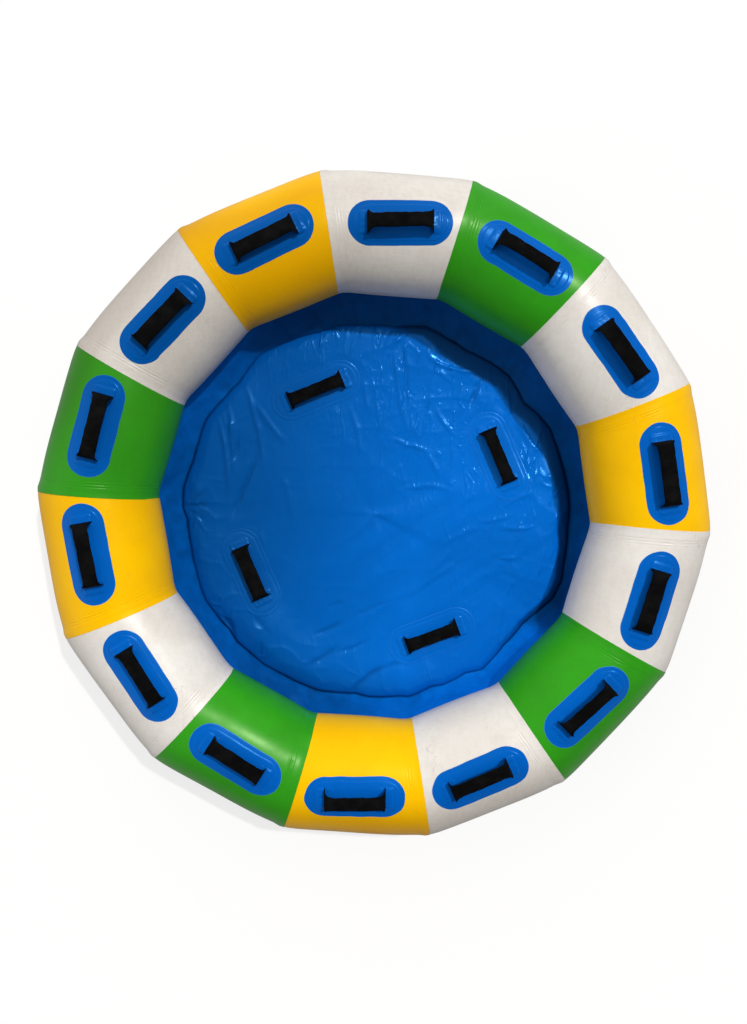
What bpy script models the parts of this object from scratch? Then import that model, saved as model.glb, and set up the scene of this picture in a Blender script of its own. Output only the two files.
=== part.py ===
# Round river raft: a ring tube of fourteen mitred, inflated panels with grab handles on its crown,
# an inner wall, a slack floor with four more handles, and one spring valve on the outer side.
# Metres, +Z up, origin on the ground under the middle of the ring. +Y is the middle of the first panel.

import math

import bmesh
import bpy
import numpy as np
from mathutils import Matrix, Vector

# Ring tube
panel_count = 14
ring_apothem = 0.900        # from the ring's middle to a panel's centreline
tube_radius = 0.188         # to the flat of a tube's facet
tube_sides = 20
sheet = 0.0009              # coated tarpaulin
gap = 0.0003                # between pieces that touch
lap = 0.016                 # a panel's lip, past the mitre, over the next panel
joggle = 0.003              # run over which the lapped end steps in

# Handle patch, two layers of tarpaulin
patch_length = 0.324
patch_width = 0.139
patch_arc_steps = 6
patch_layers = 2
slot_distance = 0.192       # between the two slots that the strap comes out of
slot_opening = 0.008
pocket_depth = 0.036
pocket_margin = 0.004       # the weld round a pocket

# Grab handle
strap_width = 0.059
strap_thickness = 0.002
tail_length = 0.034
sleeve_width = 0.049
sleeve_thickness = 0.009
sleeve_length = 0.130
arch_height = 0.043
arch_power = 1.3            # above 1, so the strap leaves its slot level

# Floor and inner wall
floor_apothem = 0.660       # to the crease between wall and floor
floor_shift = -0.027        # the slack floor lies this far towards -Y
floor_clearance = 0.001     # above the ground that the tube rests on
weld_width = 0.030
wall_facet = 6              # the facet, counted inwards from the crown, that carries the wall
floor_spokes_per_side = 4
floor_rings = 10
fold_height = 0.008
flat_margin = 0.095         # the floor stays flat this far round a handle patch
floor_handle_count = 4
floor_handle_radius = 0.480
floor_handle_azimuth = 29.5

# Valve
valve_panel = 6
valve_facet = 6             # counted outwards from the crown
valve_along = 0.070         # from the panel's middle
turned_steps = 20
flange_radius = 0.0245
flange_thickness = 0.003
barrel_radius = 0.015
barrel_depth = 0.013
bore_radius = 0.010
neck_height = 0.0022
collar_radius = 0.0165
collar_height = 0.0058
nut_radius = 0.024
nut_thickness = 0.005
spider_thickness = 0.002
spider_depth = 0.005
spider_arm = 0.0024
hub_radius = 0.0032
stem_radius = 0.0015
stem_clearance = 0.0003
button_radius = 0.006
button_thickness = 0.002
button_height = 0.005       # its underside, above the tube's skin
disc_radius = 0.012
disc_thickness = 0.002
spring_radius = 0.0042
spring_wire = 0.0008
spring_turns = 4
spring_points = 9           # to a turn
cap_clearance = 0.0005
cap_wall = 0.0022
cap_top = 0.0026
cap_skirt = 0.0052
cap_groove = 0.0008
grip_length = 0.026
grip_width = 0.005
grip_height = 0.004
leash_thickness = 0.0014
leash_ring = 0.0022
leash_width = 0.007
leash_reach = 0.014

half_turn = math.pi / panel_count
facet_half = tube_radius * math.tan(math.pi / tube_sides)
corner_cos = math.cos(half_turn)
floor_top = floor_clearance + sheet

panel_colours = (
    "white", "green", "white", "yellow", "white", "green", "white",
    "yellow", "green", "white", "yellow", "green", "white", "yellow",
)


def clear_scene():
    for item in list(bpy.data.objects):
        bpy.data.objects.remove(item, do_unlink=True)


def make_material(name, colour, roughness, metallic=0.0):
    material = bpy.data.materials.new(name)
    material.use_nodes = True
    shader = material.node_tree.nodes["Principled BSDF"]
    shader.inputs["Base Color"].default_value = (*colour, 1.0)
    shader.inputs["Roughness"].default_value = roughness
    shader.inputs["Metallic"].default_value = metallic
    material.diffuse_color = (*colour, 1.0)
    return material


def add_object(name, mesh, material, matrix=None):
    item = bpy.data.objects.new(name, mesh)
    mesh.materials.clear()
    mesh.materials.append(material)
    if matrix is not None:
        item.matrix_world = matrix
    bpy.context.scene.collection.objects.link(item)
    return item


def mesh_from(name, points, faces, smooth_angle=30.0):
    """A closed mesh with its faces turned outwards."""
    mesh = bpy.data.meshes.new(name)
    mesh.from_pydata([tuple(p) for p in points], [], [tuple(f) for f in faces])
    return finish_mesh(mesh, smooth_angle)


def finish_mesh(mesh, smooth_angle=30.0):
    work = bmesh.new()
    work.from_mesh(mesh)
    bmesh.ops.remove_doubles(work, verts=work.verts, dist=1e-6)
    bmesh.ops.recalc_face_normals(work, faces=work.faces)
    if work.calc_volume(signed=True) < 0:
        bmesh.ops.reverse_faces(work, faces=work.faces)
    work.to_mesh(mesh)
    work.free()
    mesh.update()
    mesh.shade_smooth()
    mesh.set_sharp_from_angle(angle=math.radians(smooth_angle))
    return mesh


def loop_faces(count, rows, closed):
    """Quads between rows of points, each row a closed loop of count points."""
    faces = []
    for row in range(rows if closed else rows - 1):
        below = row * count
        above = (row + 1) % rows * count
        for i in range(count):
            j = (i + 1) % count
            faces.append((below + i, below + j, above + j, above + i))
    return faces


def turned(name, profile, steps=turned_steps):
    """A profile of (radius, height) turned about Z. It is a closed loop, or starts and ends on the axis."""
    angles = np.arange(steps) * 2 * math.pi / steps
    points = []
    on_axis = profile[0][0] == 0
    body = profile[1:-1] if on_axis else profile
    for radius, height in body:
        for a in angles:
            points.append((radius * math.cos(a), radius * math.sin(a), height))
    faces = loop_faces(steps, len(body), not on_axis)
    if on_axis:
        first = len(points)
        points.append((0, 0, profile[0][1]))
        points.append((0, 0, profile[-1][1]))
        last_row = (len(body) - 1) * steps
        for i in range(steps):
            j = (i + 1) % steps
            faces.append((first, j, i))
            faces.append((first + 1, last_row + i, last_row + j))
    return mesh_from(name, points, faces)


def box_object(name, low, high):
    """A plain box between two corners, used to add to or cut another shape."""
    low, high = Vector(low), Vector(high)
    work = bmesh.new()
    bmesh.ops.create_cube(work, size=1.0)
    for vertex in work.verts:
        vertex.co = Vector(low[i] + (vertex.co[i] + 0.5) * (high[i] - low[i]) for i in range(3))
    mesh = bpy.data.meshes.new(name)
    work.to_mesh(mesh)
    work.free()
    item = bpy.data.objects.new(name, mesh)
    bpy.context.scene.collection.objects.link(item)
    return item


def combined(mesh, added=(), cut=()):
    """The mesh with shapes joined to it and cut out of it; the shapes are used up."""
    item = bpy.data.objects.new("blank", mesh)
    bpy.context.scene.collection.objects.link(item)
    for tool, operation in [(t, "UNION") for t in added] + [(t, "DIFFERENCE") for t in cut]:
        step = item.modifiers.new(operation.lower(), "BOOLEAN")
        step.object = tool
        step.operation = operation
        step.solver = "EXACT"
    bpy.context.view_layer.update()
    depsgraph = bpy.context.evaluated_depsgraph_get()
    result = bpy.data.meshes.new_from_object(item.evaluated_get(depsgraph))
    for used in (item, *added, *cut):
        bpy.data.objects.remove(used, do_unlink=True)
    return result


def section(radius):
    """The tube's cross-section, facets at this distance: offsets out from and above its centreline."""
    angles = (np.arange(tube_sides) + 0.5) * 2 * math.pi / tube_sides
    corner = radius / math.cos(math.pi / tube_sides)
    return corner * np.sin(angles), corner * np.cos(angles)


def mitre_ring(radius, end, beyond):
    """The section on a plane parallel to a mitre, beyond it (or before it, if negative).
    Past the mitre the tube follows the neighbour's axis."""
    out, up = section(radius)
    y = ring_apothem + out
    x = y * math.tan(half_turn)
    run = beyond / corner_cos
    if beyond > 0:
        x = x + run * math.cos(2 * half_turn)
        y = y - run * math.sin(2 * half_turn)
    else:
        x = x + run
    return np.stack([end * x, y, tube_radius + up], axis=1)


def panel_mesh(name):
    """One panel: a hollow shell whose lip laps over its neighbour's stepped-in end."""
    inner = tube_radius - sheet
    tab = inner - gap
    tab_inner = tab - sheet
    step = -(lap + gap)
    rings = [
        mitre_ring(tube_radius, -1, lap),
        mitre_ring(tube_radius, -1, 0),
        mitre_ring(tube_radius, 1, step),
        mitre_ring(tab, 1, step),
        mitre_ring(tab, 1, -gap),
        mitre_ring(tab_inner, 1, -gap),
        mitre_ring(tab_inner, 1, step - sheet),
        mitre_ring(inner, 1, step - sheet - joggle),
        mitre_ring(inner, -1, 0),
        mitre_ring(inner, -1, lap),
    ]
    return mesh_from(name, np.concatenate(rings), loop_faces(tube_sides, len(rings), True), 25.0)


def panel_azimuth(index):
    return math.pi / 2 - 2 * half_turn * index


def panel_matrix(index):
    """Turns the first panel's frame, outward along +Y, to panel index, clockwise from above."""
    return Matrix.Rotation(panel_azimuth(index) - math.pi / 2, 4, "Z")


def facet_frame(facet):
    """Axes on a facet of the first panel: Z along its outward normal, X along the panel, origin on the skin."""
    angle = 2 * math.pi / tube_sides * facet
    normal = Vector((0, math.sin(angle), math.cos(angle)))
    along = Vector((1, 0, 0))
    across = normal.cross(along)
    origin = Vector((0, ring_apothem, tube_radius)) + normal * tube_radius
    matrix = Matrix((along, across, normal)).transposed().to_4x4()
    matrix.translation = origin
    return matrix


# Handle patch and grab handle, first as a flat pattern: x along the handle, y across, z off the skin

mouth = slot_distance / 2
patch_top = gap + patch_layers * sheet
pocket_floor = gap + sheet
pocket_top = pocket_floor + strap_thickness + 2 * gap
cover_top = pocket_top + sheet
pocket_half = strap_width / 2 + gap
strap_level = pocket_floor + gap + strap_thickness / 2


def oblong_outline():
    """Half circles on a straight middle, anticlockwise."""
    radius = patch_width / 2
    centre = patch_length / 2 - radius
    points = []
    for side in (1, -1):
        for i in range(patch_arc_steps + 1):
            a = -math.pi / 2 + math.pi * i / patch_arc_steps
            points.append((side * (centre + radius * math.cos(a)), side * radius * math.sin(a)))
    return points


def flat_patch_mesh():
    outline = oblong_outline()
    count = len(outline)
    points = [(x, y, gap) for x, y in outline] + [(x, y, patch_top) for x, y in outline]
    faces = [tuple(range(count)), tuple(range(2 * count - 1, count - 1, -1))]
    for i in range(count):
        j = (i + 1) % count
        faces.append((i, j, count + j, count + i))
    plate = mesh_from("patch_plate", points, faces)
    covers = []
    hollows = []
    for side in (1, -1):
        ends = sorted((side * mouth, side * (mouth + pocket_depth + pocket_margin)))
        covers.append(box_object(
            "cover",
            (ends[0], -pocket_half - pocket_margin / 2, pocket_floor - sheet / 2),
            (ends[1], pocket_half + pocket_margin / 2, cover_top),
        ))
        ends = sorted((side * (mouth - slot_opening), side * (mouth + pocket_depth)))
        hollows.append(box_object(
            "hollow",
            (ends[0], -pocket_half, pocket_floor),
            (ends[1], pocket_half, pocket_top),
        ))
    return combined(plate, covers, hollows)


def bent_on_tube(mesh):
    """The flat pattern laid on the tube's facets: cut along each fold, then turned down past it."""
    work = bmesh.new()
    work.from_mesh(mesh)
    for side in (1, -1):
        bmesh.ops.bisect_plane(
            work,
            geom=work.verts[:] + work.edges[:] + work.faces[:],
            dist=1e-7,
            plane_co=(0, side * facet_half, 0),
            plane_no=(0, side, 0),
        )
    for vertex in work.verts:
        x, across, off = vertex.co
        facet = round(across / (2 * facet_half) - math.copysign(1e-4, across))
        share = (across - facet * 2 * facet_half) / facet_half
        angle = 2 * math.pi / tube_sides * facet
        distance = tube_radius + off
        sideways = share * distance * math.tan(math.pi / tube_sides)
        y = distance * math.sin(angle) + sideways * math.cos(angle)
        z = distance * math.cos(angle) - sideways * math.sin(angle)
        vertex.co = (x, ring_apothem + y, tube_radius + z)
    work.to_mesh(mesh)
    work.free()
    return finish_mesh(mesh, 12.0)


def strap_height(along):
    """The strap's middle above the skin: level in its pocket, then a low bell-shaped arch."""
    share = min(1.0, abs(along) / mouth)
    return strap_level + arch_height * (1 - share * share) ** arch_power


def strap_mesh(name):
    """The webbing carried along its arch, thicker and narrower in the sleeve, flat in the tails."""
    half_sleeve = sleeve_length / 2
    stations = [
        mouth + tail_length,
        mouth,
        mouth - slot_opening,
        mouth - slot_opening - (mouth - slot_opening - half_sleeve) * 0.6,
        half_sleeve * 0.8,
        half_sleeve * 0.4,
        0.0,
    ]
    stations = stations + [-s for s in stations[-2::-1]]
    points = []
    for along in stations:
        grown = min(1.0, max(0.0, (mouth - slot_opening / 2 - abs(along)) / (mouth - half_sleeve)))
        grown = grown * grown * (3 - 2 * grown)
        half_width = (strap_width + (sleeve_width - strap_width) * grown) / 2
        half_thick = (strap_thickness + (sleeve_thickness - strap_thickness) * grown) / 2
        step = 1e-4
        slope = (strap_height(along + step) - strap_height(along - step)) / (2 * step)
        length = math.hypot(1, slope)
        lift = (-slope / length * half_thick, 1 / length * half_thick)
        height = strap_height(along)
        shoulder = half_width * 0.82
        points += [
            (along, half_width, height),
            (along + lift[0], shoulder, height + lift[1]),
            (along + lift[0], -shoulder, height + lift[1]),
            (along, -half_width, height),
            (along - lift[0], -shoulder, height - lift[1]),
            (along - lift[0], shoulder, height - lift[1]),
        ]
    rows = len(stations)
    faces = loop_faces(6, rows, False)
    faces.append(tuple(range(6)))
    faces.append(tuple(range(6 * rows - 1, 6 * rows - 7, -1)))
    return mesh_from(name, points, faces, 50.0)


def ring_corner(apothem, height, index, shift=0.0):
    """The corner between panel index and the one before it, on a ring of this apothem."""
    azimuth = panel_azimuth(index) + half_turn
    radius = apothem / corner_cos
    return (radius * math.cos(azimuth), radius * math.sin(azimuth) + shift, height)


def offset_line(line, distance):
    """A polyline moved sideways by distance, mitred at its bends."""
    line = [Vector(p) for p in line]
    normals = []
    for a, b in zip(line, line[1:]):
        d = (b - a).normalized()
        normals.append(Vector((-d.y, d.x)))
    moved = []
    for i, point in enumerate(line):
        first = normals[max(i - 1, 0)]
        second = normals[min(i, len(normals) - 1)]
        middle = (first + second).normalized()
        moved.append(point + middle * (distance / middle.dot(first)))
    return moved


def wall_mesh():
    """A band welded to the tube's inner side, falling to the floor, with a flange out on the floor's rim."""
    angle = 2 * math.pi / tube_sides * wall_facet
    normal = Vector((-math.sin(angle), math.cos(angle)))
    down = Vector((-math.cos(angle), -math.sin(angle)))
    centre = Vector((ring_apothem, tube_radius))
    lie = tube_radius + gap + sheet / 2
    fold = facet_half * lie / tube_radius
    flange = floor_top + gap + sheet / 2
    line = [
        centre + normal * lie + down * (fold - weld_width),
        centre + normal * lie + down * fold,
        Vector((floor_apothem, flange)),
        Vector((floor_apothem + weld_width, flange)),
    ]
    sides = offset_line(line, sheet / 2), offset_line(line, -sheet / 2)
    points = []
    for index in range(panel_count):
        for side in (sides[0], list(reversed(sides[1]))):
            for i, (apothem, height) in enumerate(side):
                low = i >= 2 if side is sides[0] else i < 2
                points.append(ring_corner(apothem, height, index, floor_shift if low else 0.0))
    return mesh_from("inner_wall", points, loop_faces(2 * len(line), panel_count, True), 20.0)


def floor_handle_centre(index):
    azimuth = math.radians(floor_handle_azimuth + 360 / floor_handle_count * index)
    return Vector((
        floor_handle_radius * math.cos(azimuth),
        floor_handle_radius * math.sin(azimuth),
    )), azimuth


# The floor's main folds as (azimuth, from radius, to radius, width): long soft ridges towards the rim
floor_folds = (
    (-15.0, 0.18, 0.62, 0.060),
    (-105.0, 0.18, 0.62, 0.070),
    (163.0, 0.18, 0.62, 0.065),
    (74.0, 0.18, 0.62, 0.060),
)


def fold_rise(x, y):
    """How far the slack floor stands up at a point measured from its own middle."""
    rise = 0.0
    for azimuth, start, stop, width in floor_folds:
        a = math.radians(azimuth)
        along = x * math.cos(a) + y * math.sin(a)
        aside = -x * math.sin(a) + y * math.cos(a)
        run = min(1.0, max(0.0, (along - start) / width)) * min(1.0, max(0.0, (stop - along) / width))
        rise += fold_height * run * math.exp(-((aside / width) ** 2))
    for index in range(floor_handle_count):
        centre, azimuth = floor_handle_centre(index)
        out = (x - centre.x) * math.cos(azimuth) + (y - centre.y) * math.sin(azimuth)
        side = -(x - centre.x) * math.sin(azimuth) + (y - centre.y) * math.cos(azimuth)
        beyond = max(abs(out) - patch_width / 2, abs(side) - patch_length / 2)
        rise *= min(1.0, max(0.0, (beyond - flat_margin) / 0.03))
    return rise


def floor_mesh():
    """A fourteen-sided sheet with soft folds, flat under its patches and under the wall's flange."""
    spokes = panel_count * floor_spokes_per_side
    rim = floor_apothem + weld_width
    shares = [ring / (floor_rings - 1) * floor_apothem / rim for ring in range(1, floor_rings)] + [1.0]
    rows = []
    for share in shares:
        row = []
        for index in range(panel_count):
            first = Vector(ring_corner(rim * share, 0, index))
            second = Vector(ring_corner(rim * share, 0, index + 1))
            for step in range(floor_spokes_per_side):
                p = first.lerp(second, step / floor_spokes_per_side)
                rise = fold_rise(p.x, p.y) if share < shares[-2] else 0.0
                row.append((p.x, p.y + floor_shift, floor_clearance + rise))
        rows.append(row)
    points = [p for row in rows for p in row]
    faces = loop_faces(spokes, len(rows), False)
    centre = len(points)
    points.append((0, floor_shift, floor_clearance + fold_rise(0, 0)))
    faces += [(centre, (i + 1) % spokes, i) for i in range(spokes)]
    under = len(points)
    points += [(x, y, z + sheet) for x, y, z in points]
    faces += [tuple(under + i for i in reversed(face)) for face in faces]
    last = (len(rows) - 1) * spokes
    for i in range(spokes):
        j = (i + 1) % spokes
        faces.append((last + i, last + j, under + last + j, under + last + i))
    return mesh_from("floor_sheet", points, faces, 40.0)


# Valve pieces, turned about Z, with z = 0 on the tube's skin and +Z outwards

flange_top = gap + flange_thickness
neck_top = flange_top + neck_height
collar_top = neck_top + collar_height
neck_radius = collar_radius - 0.0013
spider_top = -spider_depth + spider_thickness
cap_inner = collar_radius + cap_clearance
cap_outer = cap_inner + cap_wall
cap_under = collar_top + gap
cap_crown = cap_under + cap_top
cap_rim = cap_under - cap_skirt
groove_low = cap_rim + 0.0010
groove_high = groove_low + leash_thickness + 2 * gap


def valve_body_mesh():
    body = turned("valve_body", [
        (bore_radius, collar_top),
        (bore_radius, -barrel_depth),
        (barrel_radius, -barrel_depth),
        (barrel_radius, gap),
        (flange_radius, gap),
        (flange_radius, flange_top),
        (neck_radius, flange_top),
        (neck_radius, neck_top),
        (collar_radius, neck_top),
        (collar_radius, collar_top),
    ])
    hub = bpy.data.objects.new("hub", turned("hub", [
        (stem_radius + stem_clearance, spider_top),
        (stem_radius + stem_clearance, -spider_depth),
        (hub_radius, -spider_depth),
        (hub_radius, spider_top),
    ]))
    bpy.context.scene.collection.objects.link(hub)
    arms = []
    inside = stem_radius + stem_clearance + (hub_radius - stem_radius - stem_clearance) / 2
    outside = bore_radius + (barrel_radius - bore_radius) / 2
    for index in range(3):
        arm = box_object("arm", (inside, -spider_arm / 2, -spider_depth + 0.0001),
                         (outside, spider_arm / 2, spider_top - 0.0001))
        arm.matrix_world = Matrix.Rotation(2 * math.pi / 3 * index, 4, "Z")
        arms.append(arm)
    return finish_mesh(combined(body, [hub, *arms]))


def valve_plunger_mesh():
    disc_face = -barrel_depth - gap
    return turned("valve_plunger", [
        (0, disc_face - disc_thickness),
        (disc_radius, disc_face - disc_thickness),
        (disc_radius, disc_face),
        (stem_radius, disc_face),
        (stem_radius, button_height),
        (button_radius, button_height),
        (button_radius, button_height + button_thickness),
        (0, button_height + button_thickness),
    ])


def valve_nut_mesh():
    top = -sheet - gap
    inside = barrel_radius + gap
    return turned("valve_nut", [
        (inside, top),
        (inside, top - nut_thickness),
        (nut_radius - 0.001, top - nut_thickness),
        (nut_radius, top - nut_thickness + 0.001),
        (nut_radius, top),
    ])


def spring_line():
    """Points of a helix between the spider and the button."""
    low = spider_top + gap + spring_wire / 2
    high = button_height - gap - spring_wire / 2
    total = spring_turns * spring_points
    points = []
    for i in range(total + 1):
        share = i / total
        a = 2 * math.pi * spring_turns * share
        points.append(Vector((
            spring_radius * math.cos(a),
            spring_radius * math.sin(a),
            low + (high - low) * share,
        )))
    return points


def spring_object(name, material, matrix):
    line = spring_line()
    curve = bpy.data.curves.new(name, "CURVE")
    curve.dimensions = "3D"
    curve.bevel_depth = spring_wire / 2
    curve.bevel_resolution = 1
    curve.use_fill_caps = True
    spline = curve.splines.new("POLY")
    spline.points.add(len(line) - 1)
    for point, place in zip(spline.points, line):
        point.co = (*place, 1.0)
    curve.materials.append(material)
    item = bpy.data.objects.new(name, curve)
    item.matrix_world = matrix
    bpy.context.scene.collection.objects.link(item)
    apart = min(
        (a - b).length
        for i, a in enumerate(line)
        for b in line[i + spring_points // 2:]
    )
    print(f"spring: least gap between turns {1000 * (apart - spring_wire):.2f} mm")
    return item


def valve_cap_mesh():
    floor = cap_outer - cap_groove
    cap = turned("valve_cap", [
        (0, cap_under),
        (cap_inner, cap_under),
        (cap_inner, cap_rim),
        (cap_outer, cap_rim),
        (cap_outer, groove_low),
        (floor, groove_low),
        (floor, groove_high),
        (cap_outer, groove_high),
        (cap_outer, cap_crown),
        (0, cap_crown),
    ])
    grip = box_object("grip", (-grip_length / 2, -grip_width / 2, cap_crown - 0.001),
                      (grip_length / 2, grip_width / 2, cap_crown + grip_height))
    return finish_mesh(combined(cap, [grip]))


def leash_mesh():
    """Two thin rings, one in the valve's neck and one in the cap's groove, joined by a looped strap."""
    neck_low = flange_top + (neck_height - leash_thickness) / 2
    neck_ring = turned("neck_ring", [
        (neck_radius + gap, neck_low),
        (neck_radius + gap + leash_ring, neck_low),
        (neck_radius + gap + leash_ring, neck_low + leash_thickness),
        (neck_radius + gap, neck_low + leash_thickness),
    ])
    groove_floor = cap_outer - cap_groove + gap
    cap_low = groove_low + gap
    cap_ring = bpy.data.objects.new("cap_ring", turned("cap_ring", [
        (groove_floor, cap_low),
        (groove_floor + leash_ring, cap_low),
        (groove_floor + leash_ring, cap_low + leash_thickness),
        (groove_floor, cap_low + leash_thickness),
    ]))
    bpy.context.scene.collection.objects.link(cap_ring)
    low = neck_low + leash_thickness / 2
    high = cap_low + leash_thickness / 2
    start = neck_radius + gap + leash_ring * 0.7
    back = groove_floor + leash_ring * 0.5
    bend = back + leash_reach
    line = [(start, low), (bend, low)]
    middle = (low + high) / 2
    rise = (high - low) / 2
    for i in range(1, 6):
        a = -math.pi / 2 + math.pi * i / 6
        line.append((bend + rise * math.cos(a), middle + rise * math.sin(a)))
    line += [(bend, high), (back, high)]
    outer = offset_line(line, leash_thickness / 2 - 0.0001)
    inner = offset_line(line, -leash_thickness / 2 + 0.0001)
    outline = outer + list(reversed(inner))
    count = len(outline)
    points = [(x, -leash_width / 2, z) for x, z in outline] + [(x, leash_width / 2, z) for x, z in outline]
    faces = []
    half = len(line)
    for i in range(half - 1):
        other = count - 1 - i
        faces.append((i, i + 1, other - 1, other))
        faces.append((count + i, count + other, count + other - 1, count + i + 1))
    for i in range(count):
        j = (i + 1) % count
        faces.append((i, count + i, count + j, j))
    strap = bpy.data.objects.new("strap", mesh_from("strap", points, faces))
    bpy.context.scene.collection.objects.link(strap)
    return finish_mesh(combined(neck_ring, [cap_ring, strap]))


def build_tube(materials):
    patch = bent_on_tube(flat_patch_mesh())
    strap = strap_mesh("grab_handle")
    on_crown = Matrix.Translation((0, ring_apothem, 2 * tube_radius))
    valve_frame = facet_frame(valve_facet) @ Matrix.Translation((valve_along, 0, 0))
    for index, colour in enumerate(panel_colours):
        label = f"{index + 1:02d}"
        place = panel_matrix(index)
        mesh = panel_mesh(f"tube_panel_{label}")
        if index == valve_panel:
            hole = bpy.data.objects.new("hole", turned("hole", [
                (0, -0.02), (barrel_radius + gap, -0.02), (barrel_radius + gap, 0.02), (0, 0.02),
            ]))
            hole.matrix_world = valve_frame
            bpy.context.scene.collection.objects.link(hole)
            mesh = finish_mesh(combined(mesh, cut=[hole]), 25.0)
        add_object(f"tube_panel_{label}_{colour}", mesh, materials[colour], place)
        add_object(f"handle_patch_{label}", patch.copy(), materials["patch"], place)
        add_object(f"grab_handle_{label}", strap.copy(), materials["webbing"], place @ on_crown)


def build_floor(materials):
    add_object("floor_sheet", floor_mesh(), materials["floor"])
    add_object("inner_wall", wall_mesh(), materials["wall"])
    patch = finish_mesh(flat_patch_mesh(), 12.0)
    strap = strap_mesh("floor_handle")
    for index in range(floor_handle_count):
        centre, azimuth = floor_handle_centre(index)
        place = Matrix.Translation((centre.x, centre.y + floor_shift, floor_top))
        place = place @ Matrix.Rotation(azimuth - math.pi / 2, 4, "Z")
        add_object(f"floor_patch_{index + 1}", patch.copy(), materials["patch"], place)
        add_object(f"floor_handle_{index + 1}", strap.copy(), materials["webbing"], place)


def build_valve(materials):
    frame = panel_matrix(valve_panel) @ facet_frame(valve_facet)
    frame = frame @ Matrix.Translation((valve_along, 0, 0))
    add_object("valve_body", valve_body_mesh(), materials["valve"], frame)
    add_object("valve_nut", valve_nut_mesh(), materials["valve"], frame)
    add_object("valve_plunger", valve_plunger_mesh(), materials["plunger"], frame)
    spring_object("valve_spring", materials["spring"], frame)
    add_object("valve_cap", valve_cap_mesh(), materials["valve"], frame)
    add_object("cap_leash", leash_mesh(), materials["leash"], frame)


def build():
    clear_scene()
    materials = {
        "white": make_material("white_tarpaulin", (0.80, 0.78, 0.74), 0.38),
        "green": make_material("green_tarpaulin", (0.045, 0.36, 0.015), 0.35),
        "yellow": make_material("yellow_tarpaulin", (0.90, 0.55, 0.005), 0.35),
        "patch": make_material("blue_patch", (0.0, 0.13, 0.56), 0.35),
        "floor": make_material("blue_floor", (0.0, 0.11, 0.40), 0.30),
        "wall": make_material("blue_wall", (0.0, 0.09, 0.38), 0.32),
        "webbing": make_material("black_webbing", (0.006, 0.006, 0.007), 0.85),
        "valve": make_material("valve_plastic", (0.02, 0.02, 0.022), 0.45),
        "plunger": make_material("plunger_plastic", (0.55, 0.55, 0.53), 0.40),
        "spring": make_material("spring_steel", (0.60, 0.60, 0.60), 0.25, 1.0),
        "leash": make_material("leash_rubber", (0.02, 0.02, 0.02), 0.60),
    }
    build_tube(materials)
    build_floor(materials)
    build_valve(materials)


build()
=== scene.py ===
# Round river tube seen from nearly straight above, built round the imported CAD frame.
# Metres, +Z up. The middle of the first white panel is on +Y, and panels count clockwise from above.
import math

import bmesh
import bpy
import numpy as np
from mathutils import Matrix, Vector


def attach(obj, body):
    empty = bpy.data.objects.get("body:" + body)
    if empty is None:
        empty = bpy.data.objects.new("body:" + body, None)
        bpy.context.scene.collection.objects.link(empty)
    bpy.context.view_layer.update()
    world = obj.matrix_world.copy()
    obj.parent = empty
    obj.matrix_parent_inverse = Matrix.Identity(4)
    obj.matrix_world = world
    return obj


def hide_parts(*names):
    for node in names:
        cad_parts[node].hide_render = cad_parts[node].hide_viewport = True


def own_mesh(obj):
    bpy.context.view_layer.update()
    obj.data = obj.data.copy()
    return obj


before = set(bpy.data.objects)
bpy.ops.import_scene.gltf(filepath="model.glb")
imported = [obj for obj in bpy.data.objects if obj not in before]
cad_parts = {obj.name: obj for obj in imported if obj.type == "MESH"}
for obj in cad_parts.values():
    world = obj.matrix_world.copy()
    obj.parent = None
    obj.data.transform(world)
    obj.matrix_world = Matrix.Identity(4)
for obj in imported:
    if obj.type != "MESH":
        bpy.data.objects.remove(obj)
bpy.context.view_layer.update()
scene = bpy.context.scene
scene.view_settings.view_transform = "Standard"
print("frame loaded:", len(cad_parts), "nodes")


def addItem(name, data):
    item = bpy.data.objects.new(name, data)
    scene.collection.objects.link(item)
    return item


# Camera, placed as the photograph's was
camera = {
    "place": (-0.061, 0.189, 3.176),
    "right": (0.99716, 0.07417, 0.01313),
    "up": (-0.07314, 0.99509, -0.06676),
    "back": (-0.01802, 0.06561, 0.99768),
    "pixels": 900.0,          # focal length, in pixels of a frame 1024 high
    "frameHeight": 1024.0,
    "sensor": 36.0,
}


def makeCamera():
    data = bpy.data.cameras.new("camera")
    data.sensor_width = camera["sensor"]
    data.lens = camera["sensor"] * camera["pixels"] / camera["frameHeight"]
    data.clip_end = 50.0
    item = addItem("camera", data)
    axes = Matrix((camera["right"], camera["up"], camera["back"])).transposed()
    item.matrix_world = Matrix.Translation(camera["place"]) @ axes.to_4x4()
    scene.camera = item


makeCamera()
print("camera set")


# Shader nodes. Each input is a socket to link or a value to set

def setInputs(tree, node, inputs):
    for label, value in inputs.items():
        if isinstance(value, bpy.types.NodeSocket):
            tree.links.new(value, node.inputs[label])
        else:
            node.inputs[label].default_value = value


def addNode(tree, kind, inputs, **settings):
    node = tree.nodes.new("ShaderNode" + kind)
    for label, value in settings.items():
        setattr(node, label, value)
    setInputs(tree, node, inputs)
    return node


def addMath(tree, operation, first, second=None, clamp=False):
    inputs = {0: first} if second is None else {0: first, 1: second}
    return addNode(tree, "Math", inputs, operation=operation, use_clamp=clamp).outputs["Value"]


def times(tree, first, *others):
    for other in others:
        first = addMath(tree, "MULTIPLY", first, other)
    return first


def plus(tree, first, second):
    return addMath(tree, "ADD", first, second)


def addNoise(tree, vector, scale, detail=3.0, roughness=0.55, stretch=None):
    if stretch:
        vector = addNode(tree, "Mapping", {"Vector": vector, "Scale": stretch}).outputs["Vector"]
    inputs = {"Vector": vector, "Scale": scale, "Detail": detail, "Roughness": roughness}
    return addNode(tree, "TexNoise", inputs).outputs["Fac"]


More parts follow.
